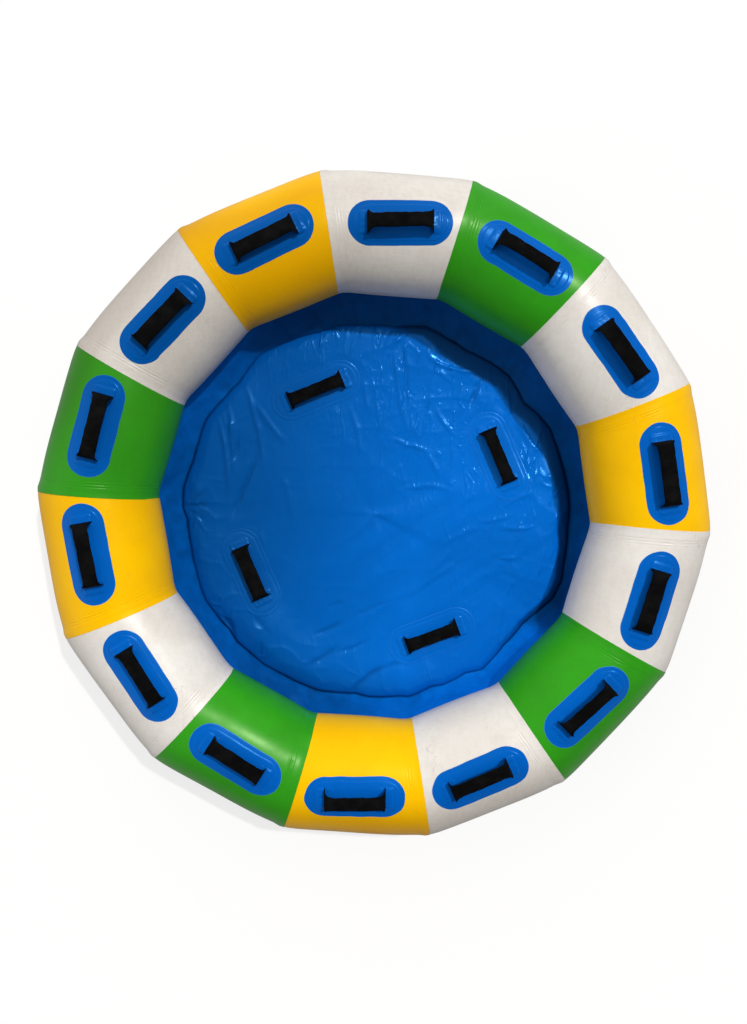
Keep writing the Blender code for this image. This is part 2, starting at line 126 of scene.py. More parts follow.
def addRange(tree, value, low, high, toLow=0.0, toHigh=1.0, curve="SMOOTHSTEP"):
    inputs = {"Value": value, "From Min": low, "From Max": high, "To Min": toLow, "To Max": toHigh}
    return addNode(tree, "MapRange", inputs, interpolation_type=curve).outputs["Result"]


def addMix(tree, factor, first, second):
    # Mixes two colours, each a socket or a tuple
    first, second = [(*side, 1.0) if isinstance(side, tuple) else side for side in (first, second)]
    return addNode(tree, "Mix", {"Factor": factor, 6: first, 7: second}, data_type="RGBA").outputs[2]


def addBump(tree, height, distance):
    return addNode(tree, "Bump", {"Height": height, "Distance": distance}).outputs["Normal"]


def readAttribute(tree, name):
    return addNode(tree, "Attribute", {}, attribute_name=name).outputs["Fac"]


def newMaterial(name):
    material = bpy.data.materials.new(name)
    material.use_nodes = True
    tree = material.node_tree
    return material, tree, tree.nodes["Principled BSDF"], addNode(tree, "TexCoord", {}).outputs["Object"]


# Light: one small hard source over a soft sky made of broad lobes, brightest low down on three sides.
# Each lobe is (azimuth, elevation, power, strength): the cosine of the angle from its middle, to that power
light = {
    "azimuth": 54.5,
    "elevation": 59.5,
    "distance": 6.0,
    "sunStrength": 1.95,
    "sunAngle": 1.8,
    "sunColour": (1.0, 0.985, 0.96),
    "skyColour": (1.0, 0.985, 0.97),
    "lobes": [
        (0, 90, 3, 0.20), (90, 45, 4, 0.45), (180, 45, 4, 0.34), (200, 18, 5, 1.00), (100, 12, 5, 1.45),
        (350, 20, 3, 0.38), (52, 68, 60, 2.20),
    ],
}


def rayTo(azimuth, elevation):
    a, e = math.radians(azimuth), math.radians(elevation)
    return Vector((math.cos(a) * math.cos(e), math.sin(a) * math.cos(e), math.sin(e)))


def makeLights():
    sun = bpy.data.lights.new("sun", "SUN")
    sun.energy = light["sunStrength"]
    sun.angle = math.radians(light["sunAngle"])
    sun.color = light["sunColour"]
    ray = rayTo(light["azimuth"], light["elevation"])
    sunItem = addItem("sun", sun)
    sunItem.location = ray * light["distance"]
    sunItem.rotation_euler = ray.to_track_quat("Z", "Y").to_euler()
    world = bpy.data.worlds.new("sky")
    world.use_nodes = True
    scene.world = world
    tree = world.node_tree
    tree.nodes.clear()
    direction = addNode(tree, "TexCoord", {}).outputs["Generated"]
    total = 0.0
    for azimuth, elevation, power, strength in light["lobes"]:
        sides = {0: direction, 1: rayTo(azimuth, elevation)}
        facing = addNode(tree, "VectorMath", sides, operation="DOT_PRODUCT").outputs["Value"]
        lobe = addMath(tree, "POWER", addMath(tree, "MAXIMUM", facing, 0.0), float(power))
        total = plus(tree, total, times(tree, lobe, strength))
    lit = addNode(tree, "Background", {"Color": (*light["skyColour"], 1.0), "Strength": total})
    seen = addNode(tree, "Background", {"Color": (1.0, 1.0, 1.0, 1.0)})
    byCamera = addNode(tree, "LightPath", {}).outputs["Is Camera Ray"]
    mix = addNode(tree, "MixShader", {"Fac": byCamera, 1: lit.outputs[0], 2: seen.outputs[0]})
    addNode(tree, "OutputWorld", {"Surface": mix.outputs[0]})


makeLights()
print("lights set")

# Stage: a white floor that keeps a faint shadow, and is duller to everything but the camera
stage = {
    "size": 12.0,
    "colour": (0.90, 0.90, 0.90),
    "dimmed": (0.36, 0.36, 0.36),
    "plainShare": 0.72,
    "roughness": 0.9,
}


def makeStage():
    half = stage["size"] / 2
    mesh = bpy.data.meshes.new("ground")
    corners = [(-half, -half, 0), (half, -half, 0), (half, half, 0), (-half, half, 0)]
    mesh.from_pydata(corners, [], [(0, 1, 2, 3)])
    material, tree, shader, place = newMaterial("groundWhite")
    byCamera = addNode(tree, "LightPath", {}).outputs["Is Camera Ray"]
    tone = addMix(tree, byCamera, stage["dimmed"], stage["colour"])
    setInputs(tree, shader, {"Roughness": stage["roughness"], "Base Color": tone})
    plain = addNode(tree, "Emission", {"Strength": 1.0})
    share = times(tree, byCamera, stage["plainShare"])
    mix = addNode(tree, "MixShader", {"Fac": share, 1: shader.outputs["BSDF"], 2: plain.outputs["Emission"]})
    setInputs(tree, tree.nodes["Material Output"], {"Surface": mix.outputs["Shader"]})
    mesh.materials.append(material)
    addItem("ground", mesh)


makeStage()
print("stage set")


# Shader groups, built once and placed in each material. Each reads Coordinates and a few numbers

def clothNodes(tree, given):
    # Coated cloth: a fine weave that shows through, soft dents, and slow changes of gloss and shade
    place = given["Coordinates"]
    fine = times(tree, addNoise(tree, place, 900.0, 2.0, 0.6), given["Fine"])
    dents = times(tree, addNoise(tree, place, 26.0, 3.0, 0.5), given["Dents"])
    return {
        "Height": plus(tree, fine, dents),
        "Gloss": addRange(tree, addNoise(tree, place, 9.0, 4.0, 0.6), 0.35, 0.70),
        "Shade": addRange(tree, addNoise(tree, place, 4.0, 5.0, 0.62), 0.35, 0.68),
    }


def scuffNodes(tree, given):
    # Grime and rubbed marks: masks of soft smudges, of thin scratches, and of dust caught in the weave
    place = given["Coordinates"]
    streak = addNoise(tree, place, 80.0, 3.0, 0.7, (1.0, 0.25, 0.6))
    speck = addNoise(tree, place, 110.0, 3.0, 0.7, (0.25, 1.0, 0.6))
    thin = addMath(tree, "SUBTRACT", addNoise(tree, place, 34.0, 2.0, 0.5, (1.0, 0.12, 1.0)), 0.5)
    line = addRange(tree, addMath(tree, "ABSOLUTE", thin), 0.010, 0.0)
    patchy = addRange(tree, addNoise(tree, place, 7.0, 3.0, 0.6), 0.50, 0.66)
    return {
        "Smudge": addRange(tree, addNoise(tree, place, 6.5, 6.0, 0.68), 0.50, 0.78),
        "Scratch": times(tree, line, patchy),
        "Dust": addRange(tree, times(tree, streak, speck), 0.17, 0.36),
    }


weldMark = {"spacing": 0.0098, "start": 0.010, "full": 0.018, "fade": 0.030, "end": 0.044, "wander": 0.004}


def weldNodes(tree, given):
    # Lines that a hot roller leaves beside a lap: ridges at set distances from the seam, a little wavy
    place = given["Coordinates"]
    wave = addMath(tree, "SUBTRACT", addNoise(tree, place, 14.0, 2.0), 0.5)
    away = plus(tree, given["Seam"], times(tree, wave, weldMark["wander"]))
    ripple = addMath(tree, "SINE", times(tree, away, 2 * math.pi / weldMark["spacing"]))
    broken = addRange(tree, addNoise(tree, place, 30.0, 3.0), 0.35, 0.65)
    band = times(tree, addRange(tree, away, weldMark["end"], weldMark["fade"]),
                 addRange(tree, away, weldMark["start"], weldMark["full"]))
    return {"Height": times(tree, ripple, broken, band)}


# Crests of a slack sheet: how it bends their cells, the soft swells under them, and layers of cells, each
# (scale, stretch, turn, width, how many are left out, height)
crest = {
    "bend": 6.0,
    "shift": (0.05, 0.05, 0.0),
    "swell": 12.0,
    "swellHeight": 1.1,
    "layers": [
        (9.0, 0.20, 0.12, 0.050, 0.46, 1.1), (12.0, 0.20, -0.90, 0.060, 0.46, 1.1),
        (18.0, 0.26, 0.45, 0.080, 0.47, 0.6), (29.0, 0.30, -0.75, 0.110, 0.48, 0.4),
    ],
}


def crinkleNodes(tree, given):
    # Slack sheet: straight crests along the borders of bent cells, most of them left out, over soft swells
    place = given["Coordinates"]
    bend = addNode(tree, "TexNoise", {"Vector": place, "Scale": crest["bend"]}).outputs["Color"]
    bent = addNode(tree, "VectorMath", {0: bend, 1: crest["shift"], 2: place}, operation="MULTIPLY_ADD")
    total = times(tree, addNoise(tree, place, crest["swell"], 2.0, 0.5), crest["swellHeight"])
    for scale, stretch, turn, width, low, share in crest["layers"]:
        laid = {"Vector": bent.outputs["Vector"], "Rotation": (0.0, 0.0, turn), "Scale": (1.0, stretch, 1.0)}
        spot = addNode(tree, "Mapping", laid).outputs["Vector"]
        cells = addNode(tree, "TexVoronoi", {"Vector": spot, "Scale": scale}, feature="DISTANCE_TO_EDGE")
        line = addRange(tree, cells.outputs["Distance"], width, 0.0)
        broken = addRange(tree, addNoise(tree, place, scale * 0.9, 2.0, 0.5), low, low + 0.14)
        total = plus(tree, total, times(tree, line, broken, share))
    return {"Height": total}


def makeGroup(name, numbers, fill):
    # A node group; fill puts its nodes in and returns its outputs by name, all of them numbers
    group = bpy.data.node_groups.new(name, "ShaderNodeTree")
    group.interface.new_socket("Coordinates", in_out="INPUT", socket_type="NodeSocketVector")
    for label, value in numbers.items():
        socket = group.interface.new_socket(label, in_out="INPUT", socket_type="NodeSocketFloat")
        socket.default_value = value
    made = fill(group, group.nodes.new("NodeGroupInput").outputs)
    for label in made:
        group.interface.new_socket(label, in_out="OUTPUT", socket_type="NodeSocketFloat")
    setInputs(group, group.nodes.new("NodeGroupOutput"), made)
    return group


groups = {
    "crinkles": makeGroup("crinkles", {}, crinkleNodes),
    "coatedCloth": makeGroup("coatedCloth", {"Fine": 1.0, "Dents": 1.0}, clothNodes),
    "scuffs": makeGroup("scuffs", {}, scuffNodes),
    "weldLines": makeGroup("weldLines", {"Seam": 0.0}, weldNodes),
}


def placeGroup(tree, name, **inputs):
    return addNode(tree, "Group", inputs, node_tree=groups[name]).outputs


# Tarpaulin finishes: colour, its duller shade, grime, colour under the ring's painted shade, sheen tint, and
# gloss from and to. Only pale cloth shows rubbed marks; slack cloth is crinkled, with crests of that many
# metres
tarpaulin = {
    "white": dict(
        colour=(0.765, 0.740, 0.700), worn=(0.690, 0.655, 0.610), grime=(0.42, 0.38, 0.34),
        shadedColour=(0.500, 0.460, 0.415), smudge=0.24, dust=0.30, scratch=0.60, gloss=(0.34, 0.44),
        shine=0.45, tint=(1.0, 1.0, 1.0),
    ),
    "green": dict(
        colour=(0.026, 0.330, 0.007), worn=(0.022, 0.280, 0.006), grime=(0.04, 0.10, 0.03),
        shadedColour=(0.022, 0.195, 0.004), smudge=0.10, dust=0.10, scratch=0.20, gloss=(0.30, 0.38),
        shine=0.26, tint=(0.8, 1.0, 0.6),
    ),
    "yellow": dict(
        colour=(0.940, 0.530, 0.0), worn=(0.890, 0.480, 0.0), grime=(0.50, 0.27, 0.04),
        shadedColour=(0.600, 0.285, 0.0), smudge=0.08, dust=0.08, scratch=0.20, gloss=(0.34, 0.44),
        shine=0.22, tint=(1.0, 0.85, 0.2),
    ),
    "patch": dict(
        colour=(0.0, 0.112, 0.510), worn=(0.0, 0.100, 0.455), grime=(0.01, 0.08, 0.26),
        smudge=0.06, gloss=(0.20, 0.28), shine=0.28, tint=(0.15, 0.50, 1.0),
    ),
    "floorPatch": dict(
        colour=(0.0, 0.146, 0.650), worn=(0.0, 0.140, 0.620), grime=(0.01, 0.09, 0.34),
        smudge=0.05, gloss=(0.22, 0.31), shine=0.42, tint=(0.13, 0.50, 1.0),
    ),
    "wall": dict(
        colour=(0.0, 0.180, 0.800), worn=(0.0, 0.170, 0.750), grime=(0.01, 0.09, 0.32),
        smudge=0.05, gloss=(0.28, 0.38), shine=0.30, tint=(0.15, 0.5, 1.0), crinkle=0.0004,
    ),
}
tarpaulin["floor"] = dict(tarpaulin["floorPatch"], gloss=(0.19, 0.27), tint=(0.12, 0.50, 1.0), crinkle=0.0022)
shadeBlue = (0.0, 0.068, 0.290)
deepShadeBlue = (0.0, 0.016, 0.075)
paleEdge = (0.30, 0.50, 0.76)
relief = {"grain": 0.0008, "weld": 0.00042, "weave": 0.0004}      # heights of the bumps


def makeTarpaulin(kind, welded=False, rim=False):
    finish = tarpaulin[kind]
    material, tree, shader, place = newMaterial(kind + "Tarpaulin")
    grain = placeGroup(tree, "coatedCloth", Coordinates=place, Fine=0.05, Dents=0.35)
    scuffs = placeGroup(tree, "scuffs", Coordinates=place)
    colour = addMix(tree, grain["Shade"], finish["worn"], finish["colour"])
    dirt = times(tree, scuffs["Smudge"], finish["smudge"])
    if "scratch" in finish:
        dirt = addMath(tree, "ADD", dirt, times(tree, scuffs["Scratch"], finish["scratch"]), True)
    colour = addMix(tree, dirt, colour, finish["grime"])
    height = times(tree, grain["Height"], relief["grain"])
    rough = addRange(tree, grain["Gloss"], 0.0, 1.0, *finish["gloss"], "LINEAR")
    if welded:
        # Painted shade on the ring from its field, then real dust in the weave, heavier where that shade is
        # painted
        ringShade = readAttribute(tree, "ringShade")
        colour = addMix(tree, ringShade, colour, finish["shadedColour"])
        dustWithShade = addRange(tree, ringShade, 0.0, 1.0, finish["dust"] * 0.35, finish["dust"], "LINEAR")
        colour = addMix(tree, times(tree, scuffs["Dust"], dustWithShade), colour, finish["grime"])
        weld = placeGroup(tree, "weldLines", Coordinates=place, Seam=readAttribute(tree, "seam"))
        height = plus(tree, height, times(tree, weld["Height"], relief["weld"]))
    if rim:
        edge = addRange(tree, readAttribute(tree, "rim"), 0.0020, 0.0006)
        edge = times(tree, edge, times(tree, readAttribute(tree, "rimShow"), 0.30))
        colour = addMix(tree, edge, colour, paleEdge)
    # Painted shade on the blue cloth: broad shade from the dimmed field, then deep shade in creases, folds
    # and shadow
    if not welded:
        colour = addMix(tree, readAttribute(tree, "dimmed"), colour, shadeBlue)
        colour = addMix(tree, readAttribute(tree, "deepShade"), colour, deepShadeBlue)
    if "crinkle" in finish:
        crests = placeGroup(tree, "crinkles", Coordinates=place)["Height"]
        crests = times(tree, crests, readAttribute(tree, "slack"), finish["crinkle"])
        height = plus(tree, height, crests)
        rough = plus(tree, rough, times(tree, readAttribute(tree, "deepShade"), 0.36))
    setInputs(tree, shader, {
        "Base Color": colour, "Roughness": rough, "Normal": addBump(tree, height, 1.0),
        "Specular IOR Level": finish["shine"], "Specular Tint": (*finish["tint"], 1.0),
    })
    return material


webbing = {"thread": 0.0016, "dark": (0.0012, 0.0012, 0.0014), "worn": (0.0050, 0.0050, 0.0055)}


def makeWebbing():
    # Black sleeve cloth: a plain weave across the strap's own map, with a soft sheen of lint
    material, tree, shader, place = newMaterial("blackWebbing")
    lint = addNoise(tree, place, 420.0, 2.0, 0.7)
    broad = addRange(tree, addNoise(tree, place, 22.0, 3.0, 0.6), 0.35, 0.75)
    cloth = addNode(tree, "UVMap", {}, uv_map="strap").outputs["UV"]
    split = addNode(tree, "SeparateXYZ", {"Vector": cloth}).outputs
    turns = 2 * math.pi / webbing["thread"]
    rib, yarn = [addMath(tree, "SINE", times(tree, split[axis], turns)) for axis in "XY"]
    height = plus(tree, times(tree, rib, yarn, 0.5), lint)
    setInputs(tree, shader, {
        "Base Color": addMix(tree, broad, webbing["dark"], webbing["worn"]), "Roughness": 0.82,
        "Specular IOR Level": 0.06, "Normal": addBump(tree, height, relief["weave"]),
    })
    return material


# The valve keeps its CAD solids, all but the spring, with these finishes: colour, its worn shade, gloss
# from and to, height of the grain, and metallic if it is metal
valveFinishes = {
    "moulded": dict(
        colour=(0.020, 0.021, 0.024), worn=(0.040, 0.041, 0.045), gloss=(0.38, 0.52), grain=0.00006,
    ),
    "button": dict(
        colour=(0.100, 0.102, 0.106), worn=(0.140, 0.142, 0.146), gloss=(0.32, 0.45), grain=0.00004,
    ),
    "steel": dict(
        colour=(0.560, 0.555, 0.540), worn=(0.420, 0.415, 0.405), gloss=(0.22, 0.36), grain=0.00001,
        metal=1.0,
    ),
    "rubber": dict(
        colour=(0.012, 0.012, 0.013), worn=(0.026, 0.026, 0.028), gloss=(0.55, 0.70), grain=0.00008,
    ),
}
valveParts = {
    "valve_body": "moulded", "valve_nut": "moulded", "valve_cap": "moulded", "valve_plunger": "button",
    "cap_leash": "rubber",
}


def makeValveFinish(kind):
    finish = valveFinishes[kind]
    material, tree, shader, place = newMaterial("valve" + kind.capitalize())
    grain = placeGroup(tree, "coatedCloth", Coordinates=place, Fine=1.0, Dents=0.2)
    scuffs = placeGroup(tree, "scuffs", Coordinates=place)
    rubbed = addMath(tree, "MULTIPLY", plus(tree, grain["Shade"], scuffs["Scratch"]), 0.6, True)
    setInputs(tree, shader, {
        "Base Color": addMix(tree, rubbed, finish["colour"], finish["worn"]),
        "Metallic": finish.get("metal", 0.0),
        "Roughness": addRange(tree, grain["Gloss"], 0.0, 1.0, *finish["gloss"], "LINEAR"),
        "Normal": addBump(tree, times(tree, grain["Height"], finish["grain"]), 1.0),
    })
    return material


materials = {kind: makeTarpaulin(kind, welded=True) for kind in ("white", "green", "yellow")}
materials.update({kind: makeTarpaulin(kind, rim=True) for kind in ("patch", "floorPatch")})
materials.update({kind: makeTarpaulin(kind) for kind in ("floor", "wall")})
materials.update({kind: makeValveFinish(kind) for kind in valveFinishes}, webbing=makeWebbing())
for name, kind in valveParts.items():
    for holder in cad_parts[name].material_slots:
        holder.material = materials[kind]
print("materials made")

# Noise on numpy arrays, the same on every run
lattice = 256
noiseTable = np.random.default_rng(7).random((lattice, lattice))


def softNoise(x, y, seed=0):
    # Value noise from -1 to 1: random values on a unit lattice, eased between lattice points
    x, y = np.broadcast_arrays(np.asarray(x, float) + 17.13 * seed, np.asarray(y, float) + 31.7 * seed)
    xi, yi = np.floor(x).astype(int), np.floor(y).astype(int)
    xf, yf = x - xi, y - yi
    xf, yf = xf * xf * (3 - 2 * xf), yf * yf * (3 - 2 * yf)
    a, b, c, d = [noiseTable[(xi + i) % lattice, (yi + j) % lattice] for j in (0, 1) for i in (0, 1)]
    return 2 * ((a * (1 - xf) + b * xf) * (1 - yf) + (c * (1 - xf) + d * xf) * yf) - 1


def ridges(x, y, seed=0):
    # Thin crests from 0 to 1 where the noise crosses zero, as cloth creases
    return (1 - np.abs(softNoise(x, y, seed))) ** 4


def ease(value, low, high):
    # 0 below low, 1 above high, smooth between
    t = np.clip((value - low) / (high - low), 0, 1)
    return t * t * (3 - 2 * t)


def turnXy(x, y, angle):
    c, s = np.cos(angle), np.sin(angle)
    return c * x - s * y, s * x + c * y


def turned(points, angle):
    return np.stack([*turnXy(points[..., 0], points[..., 1], angle), points[..., 2]], axis=-1)


def readTable(table, azimuth, column=1, unit=1):
    # Values at azimuths in radians, from a table by degrees whose rows are joined by straight lines all round
    known = np.array([np.hstack(row) for row in sorted(table.items())], float)
    return np.interp(np.degrees(azimuth), known[:, 0], known[:, column] / unit, period=360)


def addFields(mesh, fields):
    # Writes named values, one for each point, for the materials to read
    for label, values in fields.items():
        layer = mesh.attributes.new(label, "FLOAT", "POINT")
        layer.data.foreach_set("value", values.astype(np.float32).ravel())


def gridMesh(name, points, fields=None, uv=None):
    # A mesh over rows of points, each row closed into a loop. Fields and uv are given for each point
    rows, columns = points.shape[:2]
    index = np.arange(rows * columns).reshape(rows, columns)
    index = np.concatenate([index, index[:, :1]], axis=1)
    quads = np.stack([index[:-1, :-1], index[:-1, 1:], index[1:, 1:], index[1:, :-1]], axis=-1).reshape(-1, 4)
    mesh = bpy.data.meshes.new(name)
    mesh.vertices.add(rows * columns)
    mesh.vertices.foreach_set("co", points.astype(np.float32).ravel())
    mesh.loops.add(quads.size)
    mesh.loops.foreach_set("vertex_index", quads.astype(np.int32).ravel())
    mesh.polygons.add(len(quads))
    mesh.polygons.foreach_set("loop_start", np.arange(0, quads.size, 4, dtype=np.int32))
    mesh.update(calc_edges=True)
    if uv:
        layer = mesh.uv_layers.new(name="strap")
        flat = np.stack(np.broadcast_arrays(*uv), axis=-1).reshape(-1, 2)
        layer.data.foreach_set("uv", flat[quads.ravel()].astype(np.float32).ravel())
    addFields(mesh, {label: np.broadcast_to(v, (rows, columns)) for label, v in (fields or {}).items()})
    mesh.shade_smooth()
    return mesh


def closeMesh(mesh, faces=(), merge=0.0):
    # Adds end faces, merges points that meet, and turns the faces outward
    work = bmesh.new()
    work.from_mesh(mesh)
    work.verts.ensure_lookup_table()
    for face in faces:
        work.faces.new([work.verts[i] for i in face])
    if merge:
        bmesh.ops.remove_doubles(work, verts=work.verts, dist=merge)
    bmesh.ops.recalc_face_normals(work, faces=work.faces)
    work.to_mesh(mesh)
    work.free()


def addPiece(name, mesh, kind, nodes=(), thickness=0.0):
    # Links a finished piece, gives it cloth thickness inward, and puts it in the place of its CAD nodes
    item = addItem(name, mesh)
    mesh.materials.append(materials[kind])
    if thickness:
        cloth = item.modifiers.new("thickness", "SOLIDIFY")
        cloth.thickness = thickness
        cloth.offset = -1.0
        cloth.use_even_offset = False
        cloth.use_rim = True
    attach(item, "raft")
    if nodes:
        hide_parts(*nodes)
    return item


# Ring tube: a circle carried round fourteen mitred straights, eased at the mitres
ring = {
    "panels": 14,
    "apothem": 0.900,
    "radius": 0.1885,
    "height": 0.188,          # of the tube's centreline
    "cornerEase": 0.030,      # how far from a mitre the bend is rounded
    "pinch": 0.0022,          # the weld draws the tube in
    "pinchRun": 0.028,
    "shoulder": 0.0045,       # extra fall of the outer side just past a mitre
    "shoulderRun": 0.035,
    "bulge": 0.0045,          # the inner side swells between seams
    "pleat": 0.00050,
    "pleatGap": 0.030,
    "wander": 0.0011,
    "lap": 0.016,
    "sheet": 0.0009,
    "ply": 0.00105,
    "tuck": 0.0012,           # the tab under the neighbour's lip steps in
    "ground": 0.0006,         # the skin's lowest height, and the stretch over it in which the skin flattens
    "groundEase": 0.006,
    "stations": 44,           # along a panel's middle, and points round it
    "around": 132,
}
halfTurn = math.pi / ring["panels"]
panelColours = [
    "white", "green", "white", "yellow", "white", "green", "white",
    "yellow", "green", "white", "yellow", "green", "white", "yellow",
]


def panelTurn(index):
    # Angle that turns the first panel's frame, outward on +Y, to panel index, clockwise from above
    return -2 * halfTurn * index


def tubeSkin(x, theta, lift=0.0, seed=0):
    # A point of one panel's skin in its own frame: x along the panel, clockwise, and theta round the tube
    # from the crown, outward positive. Round the section it is a circle. Past a mitre it follows the
    # neighbour's line, and both lines are drawn towards the ring's middle near the mitre, as a bend
    # of hyperbolic shape: inward by sin(half turn) * (sqrt(s^2 + ease^2) - |s|), s from the mitre
    x, theta = np.broadcast_arrays(np.asarray(x, float), np.asarray(theta, float))
    out, up = np.sin(theta), np.cos(theta)
    line = ring["apothem"] + ring["radius"] * out
    half = line * math.tan(halfTurn)
    left, right = x + half, half - x
    near = np.minimum(np.abs(left), np.abs(right))
    inside = np.clip(left / (2 * half), 0, 1)
    rise = -ring["pinch"] / (1 + (near / ring["pinchRun"]) ** 2)
    run = np.where(right < 0, -right, np.clip(left, 0, None)) / ring["shoulderRun"]
    rise = rise - ring["shoulder"] * run * np.exp(1 - run) * np.clip(out, 0, 1) ** 2
    rise = rise + ring["bulge"] * np.sin(math.pi * inside) ** 0.8 * np.clip(-out, 0, 1) ** 1.5
    inner = ease(-out, 0.15, 0.75) * ease(near, 0.004, 0.05)
    bent = theta / 1.6 + 0.4 * softNoise(x / 0.11, theta, seed + 3)
    folds = ridges(x / ring["pleatGap"], bent, seed + 11)
    patchy = 0.6 + 0.6 * softNoise(x / 0.12, theta / 0.9, seed + 5)
    rise = rise + ring["pleat"] * (folds - 0.35) * inner * patchy
    rise = rise + ring["wander"] * softNoise(x / 0.16, theta / 0.8, seed + 21) * ease(near, 0.0, 0.06)
    r = ring["radius"] + rise + lift
    y = ring["apothem"] + r * out
    beyondLeft, beyondRight = np.clip(-left, 0, None), np.clip(-right, 0, None)
    px = np.clip(x, -half, half)
    px = px - beyondLeft * math.cos(2 * halfTurn) + beyondRight * math.cos(2 * halfTurn)
    y = y - (beyondLeft + beyondRight) * math.sin(2 * halfTurn)
    bends = [np.sqrt(s ** 2 + ring["cornerEase"] ** 2) - np.abs(s) for s in (left, right)]
    bendLeft, bendRight = [math.sin(halfTurn) * bend for bend in bends]
    px = px + (bendLeft - bendRight) * math.sin(halfTurn)
    y = y - (bendLeft + bendRight) * math.cos(halfTurn)
    z = ring["height"] + r * up
    low, soft = ring["ground"], ring["groundEase"]
    z = np.where(z < low + soft, low + soft * np.exp((z - low - soft) / soft), z)
    return np.stack([px, y, z], axis=-1)


# Painted shade on the ring: a broad band round the upper left, a shadow spot beside it, and one on its near
# side, towards -Y.
# For each the azimuth and reach in degrees, how fast it falls off, and its strength
ringShadeSpots = {"band": (128, 50, 4, 0.58), "shadowSpot": (153, 15, 2, 0.8), "foot": (282, 38, 2, 0.72)}


def ringShadeSpot(name, degrees, more=0.0):
    # Strength * exp(-(distance / reach)^power)
    at, reach, power, strength = ringShadeSpots[name]
    return (strength + more) * np.exp(-((degrees - at) / reach) ** power)


def ringShadeAt(x, y, outward):
    # All the painted shade on the ring, 0 to 1. The band is stronger outward, but is taken off its outer face
    # at one end
    degrees = np.degrees(np.arctan2(y, x)) % 360
    band = ringShadeSpot("band", degrees, 0.25 * ease(outward, 0.1, 0.8))
    lessShade = ease(outward, 0.45, 0.90) * (1 - ease(degrees, 116, 132))
    shadowSpot = ringShadeSpot("shadowSpot", degrees) * ease(outward, 0.15, 0.90)
    foot = ringShadeSpot("foot", degrees) * ease(outward, 0.0, 0.65)
    return np.clip(band * (1 - lessShade) + shadowSpot + foot, 0, 1)


def makePanels():
    # Fourteen panels. Stations lie close together near both seams, where the skin steps over its neighbour
    nearSeam = np.array([0.0, 0.4, 1.2, 4, 8, 12, 15, 17, 19, 21, 23.5, 27, 32, 38, 46, 56, 68]) / 1000
    across = np.linspace(-math.pi, math.pi, ring["around"], endpoint=False)[None, :]
    half = (ring["apothem"] + ring["radius"] * np.sin(across)) * math.tan(halfTurn)
    start = nearSeam[:, None] - ring["lap"] - half
    stop = half + ring["lap"] - nearSeam[::-1, None]
    share = np.linspace(0, 1, ring["stations"] + 2)[1:-1, None]
    x = np.concatenate([start, start[-1:] + (stop[:1] - start[-1:]) * share, stop])
    fromLeft = x + half
    lift = ring["ply"] * (1 - ease(fromLeft, ring["lap"] - 0.003, ring["lap"] + 0.004))
    lift = lift - ring["tuck"] * ease(x - half, -0.0005, 0.004)
    seam = np.where(fromLeft < half, fromLeft, 1.0)
    for index, colour in enumerate(panelColours):
        points = turned(tubeSkin(x, across, lift, seed=index * 3 + 1), panelTurn(index))
        # Each point carries the ring's painted shade for the material
        fields = {"seam": seam, "ringShade": ringShadeAt(points[..., 0], points[..., 1], np.sin(across))}
        name, node = f"tubePanel{index + 1:02d}", f"tube_panel_{index + 1:02d}_{colour}"
        piece = addPiece(name, gridMesh(name, points, fields), colour, [node], ring["sheet"])


makePanels()
print("tube panels made:", ring["panels"])

# Handle patches: two plies in the shape of an oblong with round ends, and a pocket over each strap tail
patch = {
    "length": 0.324,
    "width": 0.139,
    "ply": 0.0011,
    "upperInset": 0.0150,     # the upper ply is this much smaller all round
    "pocket": 0.027,
    "pocketHalf": 0.036,
    "pocketRise": 0.0026,
    "pocketSheet": 0.0009,
    "innerRun": 0.020,
    "innerRise": 0.0014,
    "wave": 0.0011,
    "glue": 0.0002,
    "sunk": 0.0003,           # how far the lower side reaches into the skin below
}
# How soft the plies' edges are, the lower and the upper ply's share of their height, and how pale the edge is
plyEdges = {"patch": (0.0, 1.0, 0.8, 1.0), "floorPatch": (0.0018, 0.75, 0.7, 0.15)}
mergeDistance = 1e-5


def oblongGrid():
    # Rays from the oblong's spine to its edge: for each place round the edge, its spine point and direction
    rings, arc, straight = 40, 34, 34
    radius = patch["width"] / 2
    centre = patch["length"] / 2 - radius
    turn = np.linspace(-math.pi / 2, math.pi / 2, arc)
    side = np.linspace(centre, -centre, straight + 2)[1:-1]
    spineX = np.concatenate([np.full(arc, centre), side, np.full(arc, -centre), -side])
    quarter = np.full(straight, math.pi / 2)
    angle = np.concatenate([turn, quarter, turn + math.pi, -quarter])
    fine = [0.78, 0.80, 0.82, 0.95, 0.965, 0.975, 0.983, 0.990, 0.995, 0.998, 1.0]
    share = np.sort(np.concatenate([np.linspace(0, 0.93, rings - len(fine)), fine]))
    return radius, spineX, angle, share


def patchShade(points, kind):
    # A patch's painted shade: like the floor's round it, or like the ring's
    x, y = points[..., 0], points[..., 1]
    return floorShade(x, y) if kind == "floorPatch" else np.clip(1.4 * ringShadeAt(x, y, 0.0), 0, 1)


